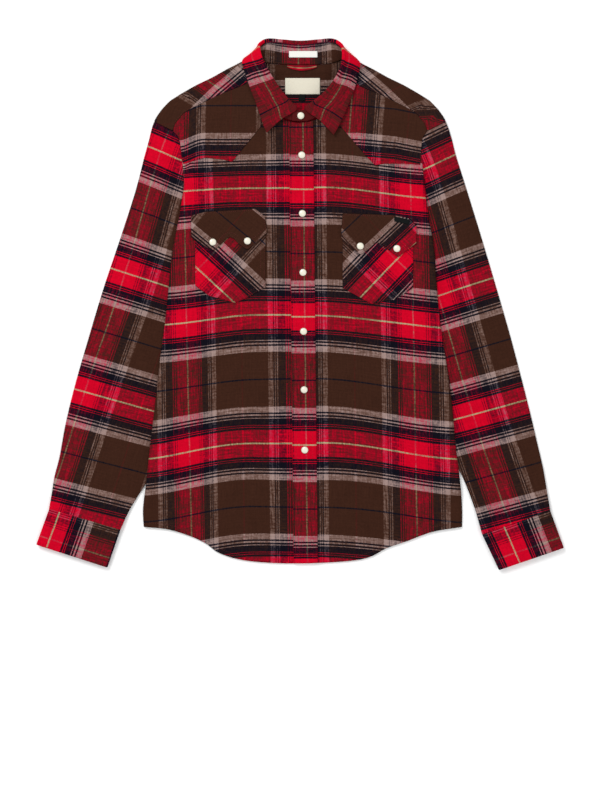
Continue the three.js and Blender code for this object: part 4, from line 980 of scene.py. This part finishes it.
def addPockets():
    for side, (name, height) in sides.items():
        pocket = pockets[side]
        top = straight(pocket["top"])
        bag = straight(pocket["bag"])
        xs = stops([p[0] for p in pocket["bag"]], 2.4)
        plan = planBetween(xs, bag, lambda x: top(x) - 12, np.linspace(0, 1, 53))
        x, y = plan[..., 0], plan[..., 1]
        grid = lying(plan, lambda a, b: height(a, b) + layer - .25)
        d, s = distanceTo(x, y, [(xs[0], 128), *pocket["bag"], (xs[-1], 128)])
        grid[..., 2] += .3 * smooth(0, 5, d) - .1 + .1 * np.sin(s / 3.2) * np.exp(-((d - 5) / 4) ** 2)
        addCloth(f"{name}_pocket", grid, weaveOf(*bagWeave(x, y, side)), thickness=1.0)
        foot = straight(pocket["teeth"])
        xs = stops([p[0] for p in pocket["teeth"] + pocket["top"]], 1.6)
        plan = planBetween(xs, foot, top, [*np.linspace(0, .8, 26), *np.linspace(.8, 1, 9)[1:]])
        x, y = plan[..., 0], plan[..., 1]
        face = flapFace(side)
        grid = lying(plan, lambda a, b: face(a, b) - .1)
        d, s = distanceTo(x, y, pocket["teeth"])
        grid[..., 2] += .25 * smooth(0, 4, d) - .15 + .08 * np.sin(s / 3) * np.exp(-((d - 5) / 4) ** 2)
        addCloth(f"{name}_pocket_flap", grid, weaveOf(*flapWeave(x, y, side)), thickness=1.5)


# Collar, each half from the centre back: roll, neck seam, fall and free edge. The right half lies flatter
leftCollar = np.array([
    [(0, 412.8, 3.9), (0, 376.4, 4.2), (0, 388, 1.05), (0, 368, 1.05)],
    [(28, 414.8, 3.9), (28, 376.8, 4.2), (30, 388, 1.05), (34, 368, 1.05)],
    [(50, 415.6, 6.2), (52, 379.2, 4.6), (57, 394, 1.3), (64, 370, 1.05)],
    [(60.5, 408, 15), (66, 384.4, 5.4), (74.5, 394, 5.4), (84.5, 387, 1.6)],
    [(64, 398, 25), (73, 388.6, 6.6), (80.5, 389.5, 13.4), (91, 380.5, 9.8)],
    [(65, 386, 31), (77.2, 377, 7.6), (84, 380, 20), (93.3, 376.5, 11.6)],
    [(63, 371, 30), (79.6, 357, 8.2), (81, 363, 21), (90.3, 358, 12.4)],
    [(56.5, 356, 26), (72.6, 337.4, 8.6), (75, 345, 19), (84.5, 337, 12.4)],
    [(46.5, 341, 22.5), (59.6, 319.6, 8.8), (65, 326, 17.6), (77, 316, 12.4)],
    [(32.5, 326, 19.5), (42.2, 303.6, 9.0), (52, 308, 16.2), (67, 293, 12.4)],
    [(19, 316, 17.5), (25.2, 293, 9.6), (41, 296, 15.2), (58.5, 276, 12.2)],
    [(8, 309, 16.5), (8.8, 287.4, 10.6), (31, 287.5, 14.2), (52.5, 265.5, 11.6)],
])
rightCollar = np.concatenate([leftCollar[:3], [
    [(60, 408, 15), (66, 384.4, 5.4), (74, 393.5, 5.4), (84, 387, 1.6)],
    [(61.5, 398, 23.5), (73, 388.6, 6.6), (78.5, 389.5, 13.4), (89, 382, 9.8)],
    [(58.5, 384.5, 27), (77.2, 377, 7.6), (78, 379.5, 19), (90, 377.5, 11.6)],
    [(52, 370, 25.5), (79.6, 357, 8.2), (71.5, 363, 19.5), (84, 358, 12.4)],
    [(43.5, 355, 22.5), (72.6, 337.4, 8.6), (64, 344, 18), (77, 337, 12.4)],
    [(34, 340.5, 20.5), (59.6, 319.6, 8.8), (55, 325, 17), (69, 316, 12.4)],
    [(23, 326, 18.5), (42.2, 303.6, 9.0), (45, 308, 16), (61.5, 294, 12.4)],
    [(14, 316, 17.2), (25.2, 293, 9.6), (37, 296.5, 15.2), (56, 278.5, 12.2)],
    [(5, 309, 16.5), (8.8, 287.4, 10.6), (30, 288.5, 14.2), (52, 269, 11.6)],
]])
perRow = 9              # steps from one row to the next


# A smooth curve through the points, for many curves at once
def through(points, steps):
    points = np.asarray(points, float)
    before, after = 2 * points[:1] - points[1:2], 2 * points[-1:] - points[-2:-1]
    full = np.concatenate([before, points, after])
    found = []
    for i in range(len(points) - 1):
        p0, p1, p2, p3 = full[i:i + 4]
        d0, d1, d2 = (np.maximum(np.linalg.norm(b - a, axis=-1, keepdims=True), 1e-6) ** .5
                      for a, b in ((p0, p1), (p1, p2), (p2, p3)))
        t1 = ((p1 - p0) / d0 - (p2 - p0) / (d0 + d1) + (p2 - p1) / d1) * d1
        t2 = ((p2 - p1) / d1 - (p3 - p1) / (d1 + d2) + (p3 - p2) / d2) * d1
        for k in range(steps):
            t = k / steps
            found.append(p1 + t1 * t + (-3 * p1 + 3 * p2 - 2 * t1 - t2) * t ** 2
                         + (2 * p1 - 2 * p2 + t1 + t2) * t ** 3)
    return np.array(found + [points[-1]])


def wholeCollar(column):
    right = rightCollar[::-1, column] * np.array([-1, 1, 1])
    return np.concatenate([right, leftCollar[1:, column]])


standRolls = through(np.concatenate([[(11, 306, 12.4)], wholeCollar(0), [(-11, 306, 16.4)]]), perRow)
standSeams = through(np.concatenate([[(12, 287, 10.2)], wholeCollar(1), [(-12, 287, 14)]]), perRow)


def standAt(share):
    down = standSeams - standRolls
    top = standRolls + down / np.linalg.norm(down, axis=1, keepdims=True) * 5
    return mix(top, standSeams, share)


def arcLength(points):
    return np.concatenate([[0], np.cumsum(np.linalg.norm(np.diff(points, axis=0), axis=1))])


def addStand():
    shares = np.linspace(0, 1, 17)
    grid = np.array([standAt(s) for s in shares])
    middle = standAt(.4)
    run = arcLength(middle)
    u = run - run[len(run) // 2] + 2.5
    arch = 4 * ((middle[:, 0] / 55) ** 2).clip(0, 1)
    v = np.array([41 + s * 34 - 16 * max(0, 1 - s / .12) + arch for s in shares])
    # The front ends are red both ways round the top snap
    atEnd = np.minimum(run, run[-1] - run) < 40
    u, v = np.where(atEnd, 72, u), np.where(atEnd, 9, v)
    addCloth("collar_stand", grid, weaveOf(u, v), thickness=1.7)


def addLeaf():
    rolls, seams = standRolls[perRow:-perRow], standSeams[perRow:-perRow]
    falls, edges = through(wholeCollar(2), perRow), through(wholeCollar(3), perRow)
    rise = rolls - seams
    rise /= np.linalg.norm(rise, axis=1, keepdims=True)
    along = np.empty_like(rolls)
    along[1:-1], along[0], along[-1] = rolls[2:] - rolls[:-2], rolls[1] - rolls[0], rolls[-1] - rolls[-2]
    out = np.cross(rise, along)
    out /= np.linalg.norm(out, axis=1, keepdims=True)
    control = np.array([
        rolls - rise * 4.2, rolls - rise * 1.6 + out * .1, rolls + out * 1.6,
        rolls - rise * 1.8 + out * 3.3, rolls - rise * 5 + out * 3.6, falls, edges,
    ])
    section = through(control, 7)
    section[..., 2] = np.maximum(1.04, section[..., 2])
    grid = section.transpose(1, 0, 2)
    side = np.linspace(-11, 11, len(grid))
    place = np.abs(side)
    down = np.array([arcLength(row) for row in grid])
    down = down - down[:, 14:15]
    v = np.where(side < 0, np.interp(place, [0, 2, 4, 7.0, 9.6, 11], [-85, -28, 2, 53, 99.7, 122]),
                 np.interp(place, [0, 2, 4.2, 7.3, 9.9, 11], [-85, -28, 0, 53, 99.7, 120]))
    yellow = np.where(side < 0, np.interp(place, [0, 4, 6, 8, 9.5, 11], [18, 17, 14, 16, 21, 33]),
                      np.interp(place, [0, 4, 6, 9.5, 11], [18, 14, 11, 20, 34]))
    lean = smooth(5, 8, place)[:, None] * down * .25
    u = np.clip(down - yellow[:, None], -18.4, 18.4)
    addCloth("collar_leaf", grid, weaveOf(u, v[:, None] + lean), thickness=1.7)
    return grid


def patch(x, y, stepsX, stepsY):
    return np.stack(np.meshgrid(np.linspace(*x, stepsX), np.linspace(*y, stepsY)), -1)


def addLabels():
    onYoke = lambda a, b: backHeight(a, b) + 1.4 + .1 * np.sin(a / 9)
    onStand = lambda a, b: 5.8 + 0 * a
    for name, x, y, height, material, slot in (
        ("neck_label", (-23, 31), (330, 355), onYoke, labelMaterial, "label_cream"),
        ("size_tab", (-2, 8), (320, 330), onYoke, tabMaterial, "tab_dark"),
        ("stand_label", (-17, 27), (387, 396.5), onStand, stripMaterial, "label_white"),
    ):
        grid = lying(patch(x, y, 28, 14), height)
        addCloth(name, grid, weaveOf(grid[..., 0], grid[..., 1]), thickness=.7, material=material)
    xs = stops([-20, 26], 1.4)
    sag = lambda a: 366.5 + 5 * ((a - 3) / 23) ** 2
    plan = planBetween(xs, sag, lambda a: 375 + 0 * a, np.linspace(0, 1, 11))
    grid = lying(plan, lambda a, b: backHeight(a, b) + layer + .8 * smooth(374, 369, b))
    middle = mix(sag(plan[..., 0]), 375, .45)
    weave = weaveOf(plan[..., 0] * .2 + 70, (plan[..., 1] - middle) * 2 + .2)
    addCloth("locker_loop", grid, weave)
    top = straight(pockets[1]["top"])
    xs = np.linspace(147, 170, 18)
    plan = planBetween(xs, lambda a: top(a) - 9, lambda a: top(a) - 1.5, np.linspace(0, 1, 9))
    face = flapFace(1)
    grid = lying(plan, lambda a, b: face(a, b) + 1.75)
    addCloth("pocket_tab", grid, weaveOf(grid[..., 0], grid[..., 1]), thickness=.7, material=tabMaterial)


# Snaps sit where the frame has them
snapProfile = [
    (0, -.1), (5.0, -.1), (5.45, .15), (5.6, .55), (5.35, .95), (5.05, 1.0), (4.95, .9), (4.8, 1.05),
    (4.2, 1.55), (3.2, 2.0), (1.8, 2.3), (0, 2.42),
]


def addSnaps():
    steps = 36
    angles = np.linspace(0, 2 * np.pi, steps, endpoint=False)
    for name, node in sorted(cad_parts.items()):
        if "_snap_" not in name:
            continue
        co = np.array([v.co for v in node.data.vertices], float) * 1000
        centre = co.mean(0)
        axis = np.linalg.svd(co - centre)[2][2]
        if axis[2] * (-1 if "cuff" in name else 1) < 0:
            axis = -axis
        depth = (co - centre) @ axis
        base = centre + axis * depth.min()
        side = np.cross(axis, [0, 1, 0])
        side /= np.linalg.norm(side)
        other = np.cross(axis, side)
        rings = [base + side * r * math.cos(a) + other * r * math.sin(a) + axis * h
                 for r, h in snapProfile[1:-1] for a in angles]
        points = np.array([base + axis * snapProfile[0][1], *rings, base + axis * snapProfile[-1][1]])
        faces, marks = [], []
        ringCount = len(snapProfile) - 2
        for k in range(steps):
            n = (k + 1) % steps
            faces.append([0, 1 + n, 1 + k])
            marks.append(1)
            for r in range(ringCount - 1):
                a, b = 1 + r * steps, 1 + (r + 1) * steps
                faces.append([a + k, a + n, b + n, b + k])
                marks.append(1 if r < 5 else 0)
            a = 1 + (ringCount - 1) * steps
            faces.append([a + k, a + n, len(points) - 1])
            marks.append(0)
        obj = makeMesh(name.replace("_snap_", "_pearl_"), points, faces, [pearlMaterial, rimMaterial],
                       marks=marks)
        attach(obj, "root")
        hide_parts(name)
    print("snaps placed")


# Topstitching
stitchPitch, stitchLength = 3.3, 2.3
stitches = []


def stitchEnds(line, run):
    count = int(run[-1] / stitchPitch)
    at = (np.arange(count) + .5) * run[-1] / count
    return [[np.interp(at + end * stitchLength / 2, run, line[:, k]) for k in range(line.shape[1])]
            for end in (-1, 1)]


# Stitches along a line in the plan, lying on the cloth's face
def stitchLine(line, face, lift=.1):
    run = arcLength(line)
    if run[-1] >= 2 * stitchPitch:
        behind, ahead = stitchEnds(line, run)
        stitches.append([np.stack([*end, face(*end) + lift], -1) for end in (behind, ahead)])


def stitchPath(points, normals, lift=.9):
    stitches.append([np.stack(end, -1) for end in stitchEnds(points + normals * lift, arcLength(points))])


def addStitches():
    a, b = (np.concatenate([s[k] for s in stitches]) for k in (0, 1))
    along = b - a
    along /= np.maximum(np.linalg.norm(along, axis=1, keepdims=True), 1e-9)
    side = np.cross(along, [0, 0, 1.0])
    side /= np.maximum(np.linalg.norm(side, axis=1, keepdims=True), 1e-9)
    up = np.cross(side, along)
    half, thick = .28, .2
    middle = (a + b) / 2
    points = np.stack([
        a, middle - side * half, middle + up * thick, middle + side * half, middle - up * thick, b,
    ], 1).reshape(-1, 3)
    pattern = np.array([
        [0, 1, 2], [0, 2, 3], [0, 3, 4], [0, 4, 1], [5, 2, 1], [5, 3, 2], [5, 4, 3], [5, 1, 4],
    ])
    faces = (np.arange(len(a))[:, None, None] * 6 + pattern[None]).reshape(-1, 3).tolist()
    obj = makeMesh("topstitching", points, faces, [threadMaterial])
    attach(obj, "root")
    print("stitches", len(a))


# The line moved sideways, to its left as it runs
def offsetLine(points, distance):
    points = np.asarray(points, float)
    step = np.gradient(points, axis=0)
    step /= np.maximum(np.linalg.norm(step, axis=1, keepdims=True), 1e-9)
    return points + np.stack([-step[:, 1], step[:, 0]], -1) * distance


def dense(points, step=3.0):
    points = np.asarray(points, float)
    run = arcLength(points)
    at = np.linspace(0, run[-1], max(2, int(run[-1] / step)))
    return np.stack([np.interp(at, run, points[:, k]) for k in range(points.shape[1])], -1)


def sewBody():
    placketFace = lambda x, y: leftFrontHeight(x, y) + layer + .55
    ys = np.linspace(-398, 280, 240)
    for shift in (-placketWidth / 2 + 6, placketWidth / 2 - 6):
        stitchLine(np.stack([placketMiddle(ys) + shift, ys], -1), placketFace)
    for side, (_, height) in sides.items():
        face = lambda x, y: height(x, y) + cloth / 2
        xs = np.linspace(14, 240, 120) if side > 0 else np.linspace(-234, -18, 120)
        stitchLine(np.stack([xs, hemAt(xs) + 7], -1), face)
        yokeFace = lambda x, y: height(x, y) + layer + .35
        outline = dense([(side * a, b) for a, b in frontYokes[side]])
        for inset in (1.8, 7.5):
            stitchLine(offsetLine(outline, inset * side), yokeFace)
        seam = dense([(side * a, b) for a, b in shoulderSeam[:5]])
        stitchLine(offsetLine(seam, 2.2 * side), lambda x, y: frontHeight(x, y) + cloth / 2)


def sewPockets():
    for side, (name, height) in sides.items():
        pocket = pockets[side]
        left, right = pocket["bag"][0][0], pocket["bag"][-1][0]
        bag = dense([(left, 100), *pocket["bag"], (right, 100)])
        for inset in (1.8, 7.5):
            stitchLine(offsetLine(bag, inset), lambda x, y: height(x, y) + layer + .35)
        face = flapFace(side)
        teeth = dense(pocket["teeth"], 2)
        for inset in (1.8, 7):
            stitchLine(offsetLine(teeth, inset), lambda x, y: face(x, y) + .75)
        top = dense(pocket["top"], 2)
        stitchLine(offsetLine(top, -1.8), lambda x, y: face(x, y) + .75)


def sewCollar(leaf):
    inset = 5.5
    path, facing = [], []
    for row, normal in zip(leaf[3:-3, ::-1], gridNormals(leaf)[3:-3, ::-1]):
        away = arcLength(row)
        at = np.interp(inset, away, np.arange(len(row)))
        low = int(at)
        path.append(mix(row[low], row[low + 1], at - low))
        facing.append(normal[low] * (1 if normal[low][2] > 0 else -1))
    stitchPath(np.array(path), np.array(facing))


addBackPanel()
addBackYoke()
addFronts()
addPlacket()
addFrontYokes()
addSleeves()
addCuffs()
addSleevePlackets()
addStand()
leaf = addLeaf()
addPockets()
addLabels()
addSnaps()
sewBody()
sewPockets()
sewCollar(leaf)
addStitches()

# Stage: a pale surface and soft light from above
floor = bpy.data.meshes.new("floor")
floor.from_pydata([(-3, -3, -.0003), (3, -3, -.0003), (3, 3, -.0003), (-3, 3, -.0003)], [], [(0, 1, 2, 3)])
floor.materials.append(plainMaterial("paleFloor", (.97, .97, .97), .9, vary=0.0))
placed("floor", floor)

world = bpy.data.worlds.new("studio")
scene.world = world
world.use_nodes = True
sky = world.node_tree.nodes["Background"]
sky.inputs["Color"].default_value = (1, 1, 1, 1)
sky.inputs["Strength"].default_value = .78


def areaLight(name, place, aim, size, watts):
    data = bpy.data.lights.new(name, "AREA")
    data.shape, data.size, data.energy = "DISK", size, watts
    obj = placed(name, data, place)
    obj.rotation_mode = "QUATERNION"
    obj.rotation_quaternion = (Vector(aim) - Vector(place)).to_track_quat("-Z", "Y")


areaLight("key", (-1.3, 1.6, 2.4), (0, 0, 0), 1.4, 54)
areaLight("fill", (1.5, -1.2, 2.6), (0, -.1, 0), 2.2, 14)

# The camera looks straight down, and the frame's height is in metres on the surface
distance, frameHeight, sensor = 3.0, 800 * mmPerPixel / 1000, 36
camera = bpy.data.cameras.new("camera")
camera.lens = sensor * distance / frameHeight
scene.camera = placed("camera", camera, (0, -.148, distance + .008))
scene.view_settings.view_transform = "Standard"
scene.view_settings.look = "None"
